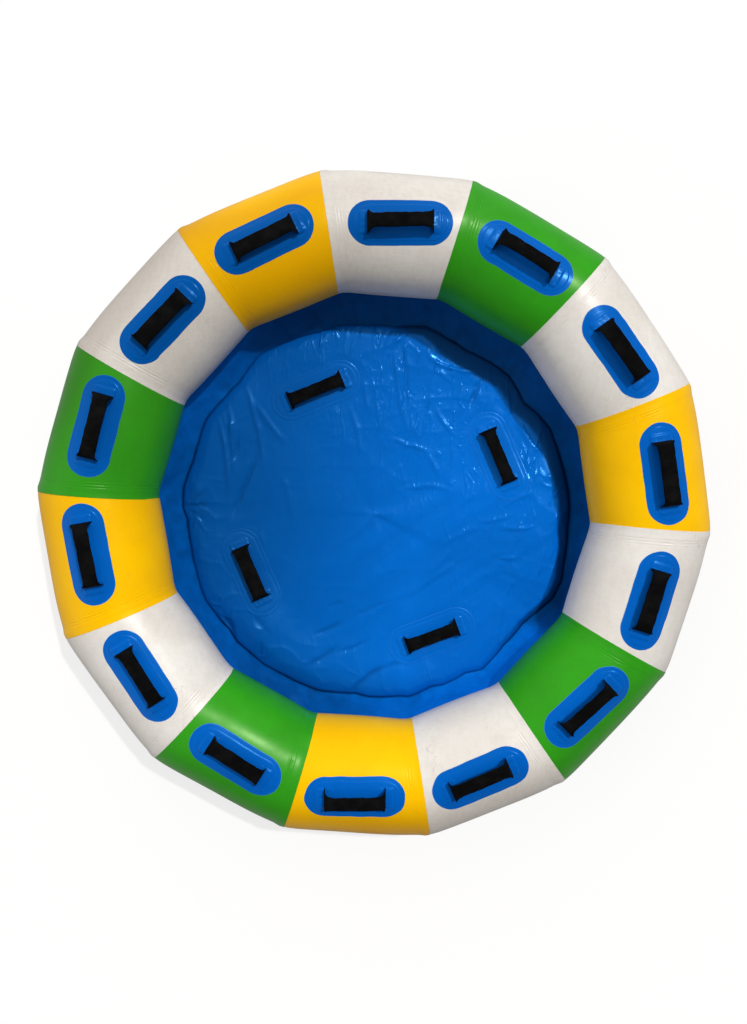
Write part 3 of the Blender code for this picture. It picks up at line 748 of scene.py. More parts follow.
def makePatch(name, node, place, seed, reach, kind):
    # Two plies: the lower one whole, the upper one smaller all round, both with rounded edges, and a low
    # soft bank on the upper one at the inner side of each slot. Over the pattern x, y:
    # height = ply * step(rim) + ply * step(rim - inset) + bank
    radius, spineX, angle, share = oblongGrid()
    edge = radius + patch["wave"] * softNoise(angle * 2.2 + spineX * 30, seed * 1.7, seed)
    across = share[:, None] * edge[None, :]
    x = spineX[None, :] + across * np.cos(angle)[None, :]
    y = across * np.sin(angle)[None, :]
    rim = edge - across
    inset = patch["upperInset"] + 0.0012 * softNoise(angle * 1.5 + spineX * 20, 0, seed + 60)[None, :]
    soft, lower, upper, shown = plyEdges[kind]
    h = patch["ply"] * ease(rim, -0.0006, 0.0010 + soft) * lower
    h = h + patch["ply"] * ease(rim, inset - 0.0012 - soft, inset + 0.0014 + soft) * upper
    before = reach - 0.003 - np.abs(x)
    bank = ease(before, 0.0, 0.004) * (1 - ease(before, 0.4 * patch["innerRun"], patch["innerRun"]))
    bank = bank * ease(patch["pocketHalf"] - np.abs(y), 0.0, 0.006)
    dents = 0.00012 * softNoise(x / 0.016, y / 0.013, seed + 7) * ease(rim, 0.002, 0.02)
    h = h + patch["innerRise"] * bank + dents
    points = np.concatenate([place(x, y, h + patch["glue"]), place(x[::-1], y[::-1], 0 * h - patch["sunk"])])
    fields = {
        "rim": np.concatenate([rim, rim[::-1]]), "rimShow": shown,
        "dimmed": patchShade(points, kind), "deepShade": 0.0,
    }
    mesh = gridMesh(name, points, fields)
    closeMesh(mesh, merge=mergeDistance)
    piece = addPiece(name, mesh, kind, [node])


def makePocket(name, place, side, seed, reach, kind):
    # A flap over a strap's tail: welded down on three sides, open and slightly lifted at its mouth. It is a
    # closed shell: the top, the bottom turned over, and the four edges
    u = np.concatenate([np.linspace(0, 0.9, 22), [0.94, 0.97, 0.99, 1.0]])[:, None]
    sides = np.array([0.92, 0.96, 0.985, 1.0])
    v = np.concatenate([-sides[::-1], np.linspace(-0.87, 0.87, 34), sides])[None, :]
    corner = 0.35 * (1 - np.sqrt(np.clip(1 - np.clip((np.abs(v) - 0.75) / 0.25, 0, 1) ** 2, 0, 1)))
    mouth = reach + 0.0022
    along = mouth + patch["pocket"] * u * (1 - corner)
    x = side * along
    y = patch["pocketHalf"] * v * np.ones_like(u)
    fromEnd = mouth + patch["pocket"] * (1 - corner) - along
    fromSide = patch["pocketHalf"] * (1 - np.abs(v))
    swell = ease(fromEnd, 0.0, 0.009) * ease(fromSide, 0.0, 0.006)
    lip = np.exp(-(along - mouth) / 0.005)
    h = 2 * patch["ply"] + patch["glue"] + patch["pocketRise"] * swell * (0.85 + 0.35 * lip)
    h = h + 0.0005 * softNoise(x / 0.011, y / 0.009, seed) * swell
    top, bottom = [place(x, y, h + lift)[:, ::side] for lift in (patch["pocketSheet"], 0.0)]
    fields = {"rim": np.ones_like(h), "rimShow": np.zeros_like(h), "dimmed": patchShade(top, kind)}
    fields = {label: np.concatenate([values, values[:, ::-1]], axis=1) for label, values in fields.items()}
    mesh = gridMesh(name, np.concatenate([top, bottom[:, ::-1]], axis=1), fields)
    rows, columns = h.shape
    width = 2 * columns
    closeMesh(mesh, [
        (first + i, first + i + 1, first + width - 2 - i, first + width - 1 - i)
        for first in (0, (rows - 1) * width) for i in range(columns - 1)
    ])
    mesh.shade_smooth()
    return mesh


# Grab handles: webbing that stands up out of its slots and runs level between them, wide where it
# leaves the slots and gathered narrow in its padded sleeve
strap = {
    "tail": 0.022,
    "endHalf": 0.0330,
    "waist": 0.0062,          # how much narrower its upper corners are than its feet
    "midHalf": 0.0225,
    "flare": 0.0075,          # how fast it narrows along its length
    "endThick": 0.0016,
    "midThick": 0.0042,
    "square": 5.0,            # power of the arch: 2 is an ellipse, more is squarer
    "level": 0.0034,
    "flatPower": 0.60,        # the ring's section: less is more like a box, across the strap and through it
    "domePower": 0.85,
    "pucker": 0.0009,
    "sag": 0.0015,
    "mapWidth": 0.019,        # of the weave's map, in metres for each radian round the strap
    "stations": 150,
    "around": 40,
}


def strapPath(reach, height):
    # The strap's middle line over its slots, |s / reach|^n + |z / height|^n = 1 with a flat tail at each end,
    # as evenly spaced points and their tangents
    angle = np.pi * np.linspace(0, 1, 4001)
    power = 2 / strap["square"]
    s = -reach * np.sign(np.cos(angle)) * np.abs(np.cos(angle)) ** power
    z = strap["level"] + height * np.abs(np.sin(angle)) ** power
    tail = np.linspace(strap["tail"], 0.0005, 60)
    s = np.concatenate([-reach - tail, s, reach + tail[::-1]])
    z = np.pad(z, len(tail), constant_values=strap["level"])
    length = np.concatenate([[0], np.cumsum(np.hypot(np.diff(s), np.diff(z)))])
    even = np.linspace(0, length[-1], strap["stations"])
    s, z = np.interp(even, length, s), np.interp(even, length, z)
    s, z = [np.convolve(np.pad(v, 1, "edge"), [0.25, 0.5, 0.25], "valid") for v in (s, z)]
    ts, tz = np.gradient(s), np.gradient(z)
    size = np.hypot(ts, tz)
    return [v[:, None] for v in (s, z, ts / size, tz / size)]


def makeStrap(name, node, place, wrapRadius, seed, sit):
    # A flattened ring carried along the path: half width = mid + (end - mid) * exp(-distance from the
    # corner / flare), leaning sideways with its height, and puckered a little
    s, z, ts, tz = strapPath(sit["reach"], sit["height"])
    around = np.linspace(0, 2 * math.pi, strap["around"], endpoint=False)[None, :]
    up = np.clip((z - strap["level"]) / sit["height"], 0, 1)
    inside = np.clip(sit["reach"] - np.abs(s), 0, None)
    flare = np.exp(-np.clip(inside - 0.004, 0, None) / strap["flare"])
    middle = strap["midHalf"] * sit["wide"]
    wide = middle + (strap["endHalf"] - middle) * flare
    wide = wide - strap["waist"] * ease(up, 0.55, 1.0) * flare
    wide = wide + 0.0009 * softNoise(s / 0.018, 0, seed + 2) * (1 - flare)
    thick = strap["endThick"] + (strap["midThick"] - strap["endThick"]) * (1 - flare) * ease(up, 0.1, 0.6)
    flat = np.sign(np.cos(around)) * np.abs(np.cos(around)) ** strap["flatPower"]
    domed = np.sign(np.sin(around)) * np.abs(np.sin(around)) ** strap["domePower"]
    pucker = strap["pucker"] * softNoise(s / 0.010, around * 1.1, seed + 4) * ease(up, 0.2, 0.8)
    sag = -strap["sag"] * (1 - flare) + 0.0012 * softNoise(s / 0.06, 0, seed + 6)
    roll = math.radians(sit["roll"]) * up
    side, off = turnXy(flat * (wide + 0.5 * pucker), domed * (thick + pucker), roll)
    y = side + sit["lean"] * up
    x = s - off * tz
    h = z + off * ts + sag * up
    free = ease(up, 0.05, 0.5)
    arc = y + (wrapRadius * np.arctan2(y, wrapRadius + h) - y) * free
    h = h + (np.hypot(wrapRadius + h, y) - wrapRadius - h) * free
    mesh = gridMesh(name, place(x, arc, h), uv=(s, strap["mapWidth"] * around))
    columns = around.size
    closeMesh(mesh, [range(columns), range((len(s) - 1) * columns, len(s) * columns)])
    addPiece(name, mesh, "webbing", [node])


# How each tube handle sits: out along the panel and outward from its middle in mm, its turn in degrees,
# then the strap's half length, height and inward lean in mm, its roll in degrees and its relative width
handleSits = [
    (6, -3, 4.4, 100, 46, 3, 2, 0.95), (2, 12, -0.8, 99, 45, -2, 0, 0.92),
    (12, 10, 1.7, 100, 42, 5, 4, 1.10), (12, 12, 0.2, 100, 43, 5, 5, 1.12),
    (10, 10, 0.3, 98, 32, 9, 4, 1.15), (-2, 12, -3.7, 97, 45, 11, 0, 0.92),
    (2, 12, 2.0, 98, 45, 13, 0, 0.96), (2, 12, 4.0, 96, 43, 0, 0, 0.98), (-3, 5, -2.9, 95, 38, 12, 2, 1.05),
    (-4, 6, -2.7, 96, 40, 15, 0, 1.02), (9, 12, 1.4, 99, 42, 9, 2, 1.04),
    (4, 12, 1.7, 100, 42, 11, 3, 1.08), (-9, -10, -1.0, 98, 43, 4, 5, 1.12),
    (-12, 12, 4.0, 100, 34, 7, 0, 1.02),
]
floorHandles = {
    "radius": 0.480,
    "azimuth": 29.5,
    "shift": -0.027,
    "sits": [
        (0, 0, -2.5, 97, 42, 2, 0, 0.95), (0, 0, -3.1, 98, 36, 0, 0, 0.95),
        (0, 0, -2.4, 95, 38, 0, 0, 1.10), (0, 0, -5.3, 95, 40, 3, 0, 1.0),
    ],
}


def readSit(row):
    along, outward, turn, reach, height, lean, roll, wide = row
    return {
        "along": along / 1000, "outward": outward / 1000, "turn": math.radians(turn), "reach": reach / 1000,
        "height": height / 1000, "lean": -lean / 1000, "roll": roll, "wide": wide,
    }


# The valve's spring, under its cap. It is pressed together by as much as the plunger goes in
spring = {
    "middle": (0.405005, -1.002336, 0.129905),
    "axis": (0.412648, -0.856872, -0.309017),
    "start": -0.0023,         # along the axis from the tube's skin
    "end": 0.0043,
    "radius": 0.0042,
    "wire": 0.0008,
    "turns": 4,
    "stroke": 0.003,
}


def makeSpring():
    # A round wire carried along a helix: the line is radius * (cos a, sin a) across the axis and rises evenly
    # along it, and a point of the wire is half its thickness * (cos b outward, sin b aside) from the line
    middle, axis = np.array(spring["middle"]), np.array(spring["axis"])
    first = np.cross(axis, (0.0, 0.0, 1.0))
    first = first / np.linalg.norm(first)
    second = np.cross(axis, first)
    whole = 2 * math.pi * spring["turns"]
    a = np.linspace(0, whole, 24 * spring["turns"] + 1)[:, None, None]
    b = np.linspace(0, 2 * math.pi, 12, endpoint=False)[None, :, None]
    rise = spring["end"] - spring["start"]
    outward = np.cos(a) * first + np.sin(a) * second
    ahead = spring["radius"] * (np.cos(a) * second - np.sin(a) * first) + rise / whole * axis
    aside = np.cross(ahead / np.linalg.norm(ahead, axis=-1, keepdims=True), outward)
    line = middle + (spring["start"] + rise * a / whole) * axis + spring["radius"] * outward
    wire = line + 0.5 * spring["wire"] * (np.cos(b) * outward + np.sin(b) * aside)
    ends = [np.broadcast_to(line[k], wire[k].shape)[None] for k in (0, -1)]
    mesh = gridMesh("valveSpring", np.concatenate([ends[0], wire, ends[1]]))
    closeMesh(mesh, merge=mergeDistance)
    piece = addPiece("valveSpring", mesh, "steel", ["valve_spring"])
    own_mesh(piece)


makeSpring()
print("valve spring made")

# Floor
floorForm = {
    "centre": (0.0, -0.027),
    "level": 0.0024,
    "under": 0.0007,
    "sheet": 0.0009,
    "beyond": 0.022,                  # how far the sheet goes past the crease, under the wall
    "points": 271,
    "brightSpot": (0.45, -0.05),      # no painted shade on the blue round here, and more the further to its left
    "floorShadeReach": 1.0,
    "handleHalf": 0.0925,             # a floor patch keeps the sheet calm: its spine's half length and radius
    "handleRadius": 0.0695,
    "flatRadius": 50.0,               # its strap is bent round so wide a ring that it counts as level
    "waves": 0.0010,                  # heights of the slow waves, the small creases and the pulled bands
    "creases": 0.0009,
    "bands": 0.0012,
    "foldScale": 2.0,
    "spokes": 0.18,                   # share of the bank's height
}
# Height and width in mm of the bank that the slack sheet makes just inside the crease, at azimuths in degrees
bankSizes = {
    -176: (20, 50), -150: (20, 60), -135: (24, 80), -110: (24, 60), -90: (20, 44), -70: (14, 36),
    -50: (10, 24), -27: (10, 24), -18: (26, 46), -6: (32, 54), 8: (34, 56), 18: (30, 52), 28: (18, 44),
    38: (10, 44), 60: (6, 44), 90: (7, 40), 120: (8, 34), 150: (11, 36), 170: (16, 48),
}
# Distance of the crease from the floor's middle in mm, at azimuths in degrees
creaseRadii = {
    -178: 674, -174: 659, -165: 657, -157: 663, -149: 671, -143: 665, -137: 659, -133: 666, -128: 662,
    -122: 665, -115: 660, -104: 662, -97: 653, -92: 645, -88: 655, -78: 659, -75: 667, -68: 651, -64: 659,
    -56: 657, -51: 677, -48: 672, -41: 658, -32: 660, -28: 672, -21: 704, -15: 706, -9: 694, 0: 687, 8: 690,
    21: 684, 30: 688, 36: 673, 41: 656, 50: 677, 57: 670, 65: 659, 71: 666, 79: 680, 88: 656, 96: 658,
    105: 667, 111: 661, 120: 671, 130: 684, 140: 660, 147: 665, 155: 676, 162: 666, 168: 663, 176: 676,
}
# Painted shade of the crease at azimuths in degrees: how dark its line is, then the soft shade beside it on
# the floor
creaseShades = {
    -178: (1.0, 0.25), -168: (0.85, 0.3), -158: (0.3, 0.45), -148: (0.15, 0.5), -140: (0.7, 0.4),
    -128: (0.8, 0.3), -121: (0.3, 0.35), -114: (0.9, 0.5), -104: (1.0, 0.45), -96: (0.8, 0.3),
    -88: (0.9, 0.3), -76: (0.4, 0.5), -60: (0.25, 0.5), -42: (0.15, 1.1), -32: (0.15, 0.9), -18: (0.1, 0.2),
    0: (0.35, 0.3), 20: (0.35, 0.1), 45: (0.35, 0.05), 66: (0.35, 0.1), 80: (0.4, 0.3), 90: (0.4, 0.3),
    110: (0.1, 0.25), 125: (0.15, 0.2), 140: (0.5, 0.2), 155: (0.6, 0.15), 165: (0.9, 0.2),
}
# How far in mm inside the crease the sheet gets painted shadow, where the wall shades it, at azimuths in
# degrees
shadeReaches = {
    -60: 5, -30: 22, 0: 40, 8: 44, 21: 57, 30: 58, 41: 55, 50: 60, 57: 72, 65: 66, 71: 63, 80: 34, 95: 5,
}
# Folds of the slack floor in mm: from a point to a point, sideways bow, half width, height (down if minus)
floorFolds = [
    (-489, 401, -399, 100, 13, 7, 2.0), (-540, 328, -505, 57, 9, 8, 2.0),
    (-579, 290, -515, -15, 15, 7, 1.6), (-420, 161, -500, -84, -3, 7, -2.6),
    (-497, 198, -516, 119, 6, 6, -1.8), (-453, 341, -320, 190, -4, 9, 1.4),
    (-121, 356, -65, 167, 11, 7, 1.5), (-339, 97, -284, -86, 9, 9, 1.0), (-671, -51, -577, 23, -1, 9, -1.1),
    (-671, -51, -583, -41, 2, 8, -2.0), (-671, -51, -585, -95, 0, 10, -1.0),
    (-470, -111, -378, -164, 15, 14, 1.0), (-203, -582, -91, -502, -8, 9, -2.2),
    (-96, -527, 11, -480, -4, 9, -1.3), (-183, -469, -90, -419, -6, 11, -1.9),
    (-415, -400, -339, -481, 0, 14, -1.0), (-366, -504, -369, -563, 0, 9, -1.3),
    (-514, -414, -458, -518, 6, 14, -3.0), (-33, -664, 82, -569, 9, 10, -3.2),
    (82, -573, 130, -548, 2, 9, -1.4), (-133, -364, -92, -347, 0, 8, -1.0),
    (-59, -402, 99, -326, 3, 8, -0.9), (197, -248, 293, -115, 1, 10, 1.3),
    (114, -326, 315, -168, 0, 12, 1.3), (240, -119, 376, -38, 3, 10, 1.3), (-71, 440, -50, 336, 0, 6, 1.7),
    (-29, 432, -6, 270, -1, 6, 1.8), (24, 568, 101, 257, -8, 7, 2.4), (52, 570, 76, 346, 10, 7, -1.8),
    (188, 358, 259, 272, -3, 6, 1.9), (35, 245, 179, 206, 0, 6, 1.8), (161, 205, 218, 121, 7, 6, 1.6),
    (84, 65, 267, 75, 16, 6, 1.4), (134, 552, 332, 498, -23, 8, 2.2), (306, 381, 341, 471, 4, 9, -3.0),
    (465, 93, 532, 91, -17, 7, 2.0), (368, -21, 485, 16, -10, 7, 1.8), (448, -43, 560, -25, -5, 6, 2.2),
    (449, -143, 513, -139, -7, 6, 1.8), (459, 39, 536, 95, 1, 7, 2.2), (476, 334, 571, 225, -6, 10, 2.6),
    (200, 600, 330, 560, 8, 10, 2.6), (60, 620, 20, 560, 0, 7, 2.0),
]


def creaseRadius(azimuth):
    # The crease's distance at any azimuth, in radians, wavered a little
    return readTable(creaseRadii, azimuth, unit=1000) + 0.0010 * softNoise(np.degrees(azimuth) / 3.0, 0, 31)


def foldHeight(x, y):
    # Each fold is a ridge with a rounded top, height * exp(-(distance from its bowed line / width)^2), eased
    # at its ends
    total = np.zeros_like(x)
    for row in floorFolds:
        x0, y0, x1, y1, bow, width, height = [value / 1000 for value in row]
        dx, dy = x1 - x0, y1 - y0
        length = math.hypot(dx, dy)
        along = ((x - x0) * dx + (y - y0) * dy) / length
        share = np.clip(along / length, 0, 1)
        aside = (-(x - x0) * dy + (y - y0) * dx) / length - bow * 4 * share * (1 - share)
        aside = aside + 0.003 * softNoise(along / 0.03, x0 * 9, 8)
        ends = ease(along, -0.015, 0.35 * length) * (1 - ease(along, 0.65 * length, length + 0.015))
        wide = width * (1 + 0.3 * softNoise(along / 0.05, y0 * 7, 12))
        total = total + height * ends * np.exp(-(aside / wide) ** 2)
    return total


def floorShade(x, y):
    # Painted shade of the floor's blue, 0 to 1: none at the bright spot and more with distance from it,
    # counted less on its right, along Y and in the upper half, with some more at the lower right
    dx, dy = x - floorForm["brightSpot"][0], y - floorForm["brightSpot"][1]
    away = np.hypot(np.where(dx > 0, 0.1 * dx, dx), 0.35 * dy) - 0.22 * np.clip(y, 0, None)
    away = away - 0.25 * np.clip(-0.05 - y, 0, 0.4)
    lowRight = 0.28 * ease(-y, -0.10, 0.14) * ease(x, 0.0, 0.3)
    return np.maximum(ease(away, 0.0, floorForm["floorShadeReach"]), lowRight)


def pulledBands(x, y):
    # Soft straight bands, -1 to 1, where the sheet is pulled aslant: along 38 degrees, right of the middle
    along, aside = 0.79 * x + 0.62 * y, -0.62 * x + 0.79 * y
    bands = 0.7 * softNoise(aside / 0.026, along / 0.48, 91)
    bands = bands + 0.3 * softNoise(aside / 0.013, along / 0.26, 92)
    return bands * np.exp(-(np.hypot(x - 0.26, y + 0.14) / 0.40) ** 4)


def floorBase(x, y):
    # The sheet without its folds: level, slow waves, and a bank that starts at the crease with a round toe
    # and rises as height * (1 - (1 - distance / width)^1.5), then dies away further in
    cx, cy = x - floorForm["centre"][0], y - floorForm["centre"][1]
    r, azimuth = np.hypot(cx, cy), np.arctan2(cy, cx)
    inward = creaseRadius(azimuth) - r
    height, width = [readTable(bankSizes, azimuth, column, 1000) for column in (1, 2)]
    height = height * (1 + 0.25 * softNoise(azimuth * 4, 0, 77))
    width = width * (1 + 0.20 * softNoise(azimuth * 6, 0, 78))
    share = np.clip(inward / width, 0, 1)
    toe = 1 - np.clip(inward / (0.10 * width + 0.004), 0, 1)
    bank = height * (0.40 * np.sqrt(1 - toe ** 2) + 0.60 * (1 - (1 - share) ** 1.5))
    bank = bank * (1 - 0.8 * ease(inward, width, width + 0.18 + 0.16 * ease(np.cos(azimuth), 0.5, 1.0)))
    z = floorForm["level"] + floorForm["waves"] * softNoise(x / 0.17, y / 0.17, 2) * ease(inward, 0.0, 0.03)
    return z + bank, inward, azimuth, height


def floorHandlePlace(index):
    # Middle and turn of a floor handle
    azimuth = math.radians(floorHandles["azimuth"] + 90 * index)
    px = floorHandles["radius"] * math.cos(azimuth)
    py = floorHandles["radius"] * math.sin(azimuth) + floorHandles["shift"]
    return px, py, azimuth - math.pi / 2


def floorHeight(x, y):
    # Height of the floor's top: its base, the folds, spokes near the crease, and small creases
    x, y = np.broadcast_arrays(np.asarray(x, float), np.asarray(y, float))
    z, inward, azimuth, full = floorBase(x, y)
    near = ease(inward, 0.002, 0.03) * (1 - ease(inward, 0.04, 0.15))
    spokes = ridges(azimuth * 9.0 + 0.5 * softNoise(inward / 0.03, azimuth * 5, 6), inward / 0.09, 5)
    z = z + floorForm["spokes"] * full * (spokes - 0.3) * near
    calm = 1.0
    for index in range(len(floorHandles["sits"])):
        px, py, turn = floorHandlePlace(index)
        along, aside = turnXy(x - px, y - py, -turn)
        beyond = np.clip(np.abs(along) - floorForm["handleHalf"], 0, None)
        beyond = np.hypot(beyond, aside) - floorForm["handleRadius"]
        calm = calm * (0.15 + 0.85 * ease(beyond, -0.012, 0.02))
    side = ease(x * 0.62 + y * 0.78, -0.05, 0.42)
    z = z + floorForm["foldScale"] * foldHeight(x, y) * calm * ease(inward, 0.0, 0.012)
    warpX, warpY = [value + 0.02 * softNoise(x / 0.09, y / 0.09, seed) for value, seed in ((x, 9), (y, 14))]
    small = ridges(warpX / 0.060, warpY / 0.14, 40) + ridges(warpX / 0.13, warpY / 0.07, 41)
    z = z + (floorForm["creases"] + floorForm["creases"] * side) * small * calm * ease(inward, 0.0, 0.02)
    z = z + floorForm["bands"] * pulledBands(x, y) * calm * ease(inward, 0.0, 0.03)
    return np.maximum(z, floorForm["under"] + floorForm["sheet"])


def floorFields(x, y):
    # What the floor's material reads at each point: its slack, its broad painted shade and its deep painted
    # shade
    inward, around = floorBase(x, y)[1:3]
    line, shade = [readTable(creaseShades, around, column) for column in (1, 2)]
    # Painted shade: a dark line along the crease, a soft shade beside it, and the cast shadow inside it
    deepShade = 0.85 * line * np.exp(-(inward / 0.0055) ** 2)
    deepShade = deepShade + 0.55 * shade * np.exp(-np.clip(inward, 0, None) / 0.014)
    reach = readTable(shadeReaches, around, unit=1000)
    shaded = np.exp(-(np.clip(inward, 0, None) / reach) ** 12) * ease(reach, 0.012, 0.030)
    deepShade = deepShade + 0.82 * shaded
    # Painted shade in the hollows of the folds and on their sides turned from the sun, less to the upper
    # right
    folds, step = foldHeight(x, y), 0.003
    lee = folds - foldHeight(x + 0.6 * step, y + 0.8 * step)
    calmer = 1 - 0.7 * ease(x * 0.62 + y * 0.78, -0.10, 0.30)
    deepShade = deepShade + 0.20 * np.clip(-folds / 0.003, 0, 1)
    deepShade = deepShade - 0.42 * calmer * np.clip(lee / step / 0.30, -0.7, 0)
    # Painted shade near the crease: more at the low side, less at the upper left
    shadeNearLowCrease = np.exp(-(inward / 0.07) ** 2 - ((around + 1.62) / 0.62) ** 4)
    lessShade = np.exp(-(inward / 0.12) ** 2 - ((around - 2.50) / 0.35) ** 2)
    slack = 0.12 + 0.88 * np.maximum(ease(x * 0.62 + y * 0.78, -0.05, 0.40), 0.5 * ease(x, 0.15, 0.50))
    return {
        "slack": slack * (1 - 0.55 * shaded),
        # Broad painted shade, lighter and darker along the pulled bands, and the painted shade near the
        # crease
        "dimmed": np.clip(floorShade(x, y) - 0.10 * pulledBands(x, y) + 0.34 * shadeNearLowCrease - 0.14 * lessShade, 0, 1),
        "deepShade": np.clip(deepShade, 0, 1),
    }


def makeFloor():
    # The sheet on a square grid bent round, x = u * sqrt(1 - v^2 / 2) and the same for y, and closer towards
    # its edge, which lies past the crease under the wall. Its underside has every second point
    count = floorForm["points"]
    side = np.linspace(-1, 1, count)
    u, v = np.meshgrid(side, side, indexing="ij")
    x, y = u * np.sqrt(1 - v * v / 2), v * np.sqrt(1 - u * u / 2)
    share, azimuth = np.hypot(x, y), np.arctan2(y, x)
    r = share * (1.35 - 0.35 * share) * (creaseRadius(azimuth) + floorForm["beyond"])
    x = floorForm["centre"][0] + r * np.cos(azimuth)
    y = floorForm["centre"][1] + r * np.sin(azimuth)
    z = floorHeight(x, y)
    lowest = np.pad(z, 2, mode="edge")
    lowest = np.min([lowest[i:i + count, j:j + count] for i in range(5) for j in range(5)], axis=0)
    below = np.stack([x, y, np.maximum(lowest - 0.0012, floorForm["under"])], axis=-1)[::2, ::2]
    points = np.concatenate([np.stack([x, y, z], axis=-1).reshape(-1, 3), below.reshape(-1, 3)])
    upper = np.arange(z.size).reshape(z.shape)
    lower = upper.size + np.arange(below.size // 3).reshape(below.shape[:2])

    def quads(index):
        corners = index[:-1, :-1], index[1:, :-1], index[1:, 1:], index[:-1, 1:]
        return np.stack(corners, axis=-1).reshape(-1, 4)

    def border(index):
        return np.concatenate([index[:-1, 0], index[-1, :-1], index[:0:-1, -1], index[0, :0:-1]])

    edge, under = border(upper), border(lower)
    rim = np.stack([edge[::2], edge[1::2], np.roll(edge, -2)[::2], np.roll(under, -1), under], axis=-1)
    faces = quads(upper).tolist() + quads(lower)[:, ::-1].tolist() + rim[:, ::-1].tolist()
    mesh = bpy.data.meshes.new("floorSheet")
    mesh.from_pydata(points.tolist(), [], faces)
    addFields(mesh, floorFields(points[:, 0], points[:, 1]))
    mesh.shade_smooth()
    piece = addPiece("floorSheet", mesh, "floor", ["floor_sheet"])


makeFloor()
print("floor made")

# Wall
wall = {
    "topTheta": -1.90,        # where the wall is welded to the tube's skin, just out of the camera's sight
    "weldTheta": -1.98,
    "lift": 0.0012,
    "slackSide": -0.85,       # azimuth where the wall sags furthest, in radians
    "sag": 0.0040,
    "moreSag": 0.0050,
    "sagWander": 0.003,
    "bowOut": 0.72,           # the way it sags: outward and down
    "bowDown": 0.69,
    "ripple": 0.0018,
    "wrinkle": 0.0034,
    "footGap": 0.0016,
    "foot": 0.0042,
    "footDrop": 0.0016,       # from there to its rolled edge
    "roll": 0.004,
    "tuck": 0.016,
    "sheet": 0.0009,
    "columns": 700,
}
# Painted shade on the wall's blue at azimuths in degrees: how far it is dimmed, and how much deeper shade it
# gets
wallShades = {
    -180: (0.89, 0), -168: (0.87, 0), -156: (0.85, 0), -144: (0.80, 0), -132: (0.78, 0), -122: (1.0, 0),
    -108: (0.93, 0), -96: (0.88, 0), -86: (0.62, 0), -74: (0.38, 0), -60: (0.30, 0), -48: (0.06, 0),
    -35: (0.06, 0), -30: (0.9, 0.3), -23: (1.0, 0.55), -13: (1.0, 0.20), 0: (1.0, 0.22), 12: (1.0, 0.32),
    26: (1.0, 0.34), 36: (0.95, 0.26), 60: (1.0, 0.32), 84: (1.0, 0.40), 96: (1.0, 0.44), 110: (1.0, 0.50),
    121: (1.0, 0.44), 128: (0.9, 0.1), 146: (0.6, 0), 156: (0.68, 0), 168: (0.80, 0),
}


def throughPoints(controls, steps):
    # A Catmull-Rom curve through rows of points, with the given number of steps in each span
    p = np.stack([2 * controls[0] - controls[1], *controls, 2 * controls[-1] - controls[-2]])
    rows = []
    for i, count in enumerate(steps):
        t = np.linspace(0, 1, count, endpoint=False)[:, None, None]
        a, b, c, d = p[i:i + 4]
        square, cube = 2 * a - 5 * b + 4 * c - d, 3 * b - a - 3 * c + d
        rows.append(0.5 * (2 * b + (c - a) * t + square * t ** 2 + cube * t ** 3))
    return np.concatenate([*rows, controls[-1][None]])


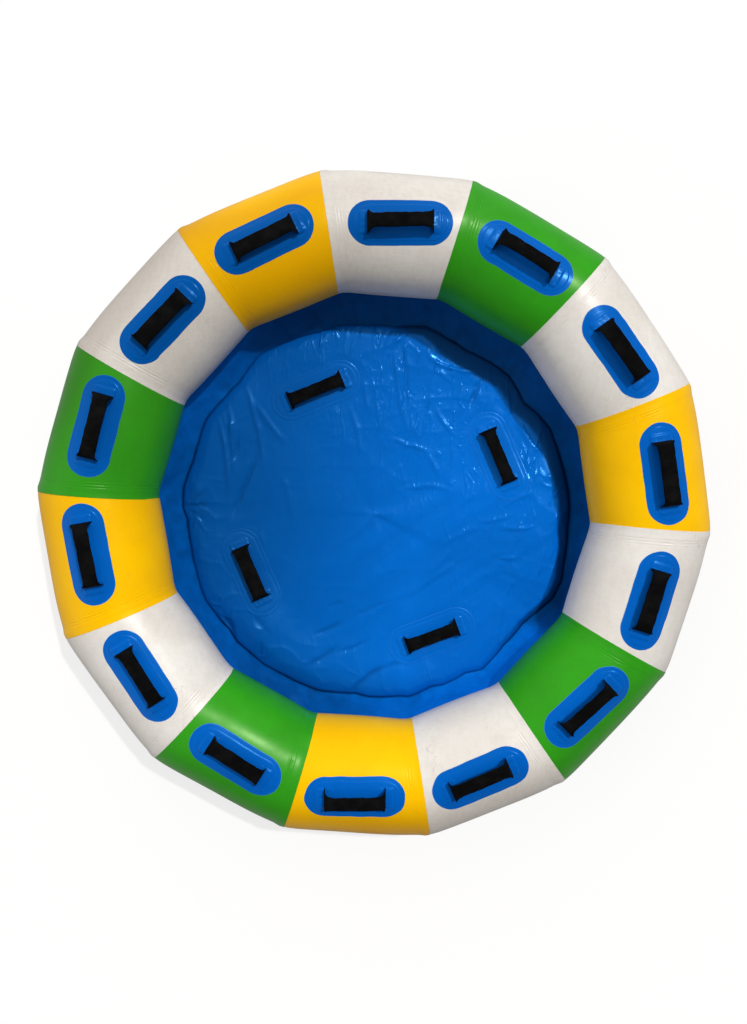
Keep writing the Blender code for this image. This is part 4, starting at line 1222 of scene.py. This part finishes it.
def makeWall():
    # A band carried round the ring: welded to the tube's skin, then down to the crease as a straight slope
    # that sags outward by 4 * sag * share * (1 - share), and a small roll under it
    azimuth = np.linspace(-math.pi, math.pi, wall["columns"], endpoint=False)
    index = np.round((math.pi / 2 - azimuth) / (2 * halfTurn)).astype(int)
    middle = math.pi / 2 - 2 * halfTurn * index

    def onTube(theta):
        depth = ring["apothem"] + ring["radius"] * math.sin(theta)
        skin = tubeSkin(-depth * np.tan(azimuth - middle), theta, wall["lift"], 1)
        return turned(skin, middle - math.pi / 2)

    weld = [onTube(theta) for theta in np.linspace(wall["topTheta"], wall["weldTheta"], 3)]
    top = weld[-1]
    footAngle = np.arctan2(top[:, 1] - floorForm["centre"][1], top[:, 0] - floorForm["centre"][0])
    radial = np.stack([np.cos(footAngle), np.sin(footAngle), 0 * footAngle], axis=-1)
    reach = creaseRadius(footAngle) + wall["footGap"]
    foot = np.array([*floorForm["centre"], 0.0]) + radial * reach[:, None]
    foot[:, 2] = wall["foot"]
    slackness = np.exp(-(np.angle(np.exp(1j * (azimuth - wall["slackSide"]))) / 0.55) ** 2)
    sag = wall["sag"] + wall["moreSag"] * slackness + wall["sagWander"] * softNoise(azimuth * 5, 0, 55)
    across = wall["bowOut"] * radial - (0.0, 0.0, wall["bowDown"])
    slope = []
    for share in np.linspace(0, 1, 9)[1:-1]:
        wave = wall["ripple"] * softNoise(azimuth * 16 + share * 1.5, share * 1.2, 51)
        wave = wave + wall["wrinkle"] * (ridges(azimuth * 7.0, share * 0.8, 57) - 0.3) * share
        bow = (4 * sag * share * (1 - share) + wave * (1 - share ** 4))[:, None] * across
        slope.append(top + (foot - top) * share + bow)
    lowest = wall["foot"] - wall["footDrop"]
    rolled, under = [foot + radial * run for run in (wall["roll"], wall["tuck"])]
    rolled[:, 2] = under[:, 2] = lowest
    points = throughPoints([*weld, *slope, foot, rolled, under], [1, 1] + [4] * 8 + [4, 2])
    points[..., 2] = np.maximum(points[..., 2], lowest)
    dimmed, deep = [readTable(wallShades, azimuth, column) for column in (1, 2)]
    # Painted shade: a dark line where the wall meets the crease
    line = 0.7 * readTable(creaseShades, footAngle)
    line = line * np.exp(-(np.linalg.norm(points - foot, axis=-1) / 0.0045) ** 2)
    down = np.linspace(0, 1, len(points))[:, None]
    # Darker towards the wall's foot, then tone that differs at random
    dimmed = dimmed + (1 - dimmed) * 0.30 * down ** 2
    dimmed = dimmed + 0.10 * softNoise(azimuth * 22, down * 5.0, 64)
    dimmed = dimmed + 0.06 * softNoise(azimuth * 60, down * 9.0, 65)
    # Painted shade along the hanging folds
    foldShade = ridges(azimuth * 8.0 + 0.5 * softNoise(down * 2.0, azimuth * 3.0, 61), down * 1.3, 62)
    foldShade = (0.5 * foldShade + 0.5 * ridges(azimuth * 17.0 + down, down * 1.1, 63)) * ease(down, 0.05, 0.35)
    mesh = gridMesh("innerWall", points, {
        "slack": np.linspace(0.4, 1.0, len(points))[:, None],
        "dimmed": np.clip(dimmed, 0, 1),
        "deepShade": np.clip(line + deep + 0.26 * (foldShade - 0.25), 0, 1),
    })
    piece = addPiece("innerWall", mesh, "wall", ["inner_wall"], wall["sheet"])


makeWall()
print("wall made")


# Handles: each a patch with its two pockets, and the strap between them

def makeHandle(label, patchNode, strapNode, place, wrapRadius, seed, sit, kind):
    for side, letter in ((1, "A"), (-1, "B")):
        mesh = makePocket(label + "Pocket", place, side, seed + side, sit["reach"], kind)
        addPiece(f"{label}Pocket{letter}", mesh, kind)
    makePatch(label + "Patch", patchNode, place, seed, sit["reach"], kind)
    makeStrap(label + "Strap", strapNode, place, wrapRadius, seed, sit)


def makeTubeHandle(number):
    # Flat pattern coordinates to the tube: turned and shifted on the crown, then wrapped round it
    sit = readSit(handleSits[number])

    def place(x, y, h):
        px, py = turnXy(x, y, sit["turn"])
        theta = (py + sit["outward"]) / ring["radius"]
        return turned(tubeSkin(px + sit["along"], theta, h, number * 3 + 1), panelTurn(number))

    name = f"{number + 1:02d}"
    nodes = "handle_patch_" + name, "grab_handle_" + name
    makeHandle("tubeHandle" + name, *nodes, place, ring["radius"], number + 1, sit, "patch")


def makeFloorHandle(number):
    # Flat pattern coordinates to the floor: turned, shifted, and laid on its height
    sit = readSit(floorHandles["sits"][number])
    px, py, turn = floorHandlePlace(number)

    def place(x, y, h):
        x, y = turnXy(x, y, turn + sit["turn"])
        return np.stack([x + px, y + py, floorHeight(x + px, y + py) + floorForm["sheet"] + h], axis=-1)

    nodes = f"floor_patch_{number + 1}", f"floor_handle_{number + 1}"
    name = f"floorHandle{number + 1}"
    makeHandle(name, *nodes, place, floorForm["flatRadius"], number + 21, sit, "floorPatch")


for number in range(len(handleSits)):
    makeTubeHandle(number)
for number in range(len(floorHandles["sits"])):
    makeFloorHandle(number)
print("handles made:", len(handleSits) + len(floorHandles["sits"]))
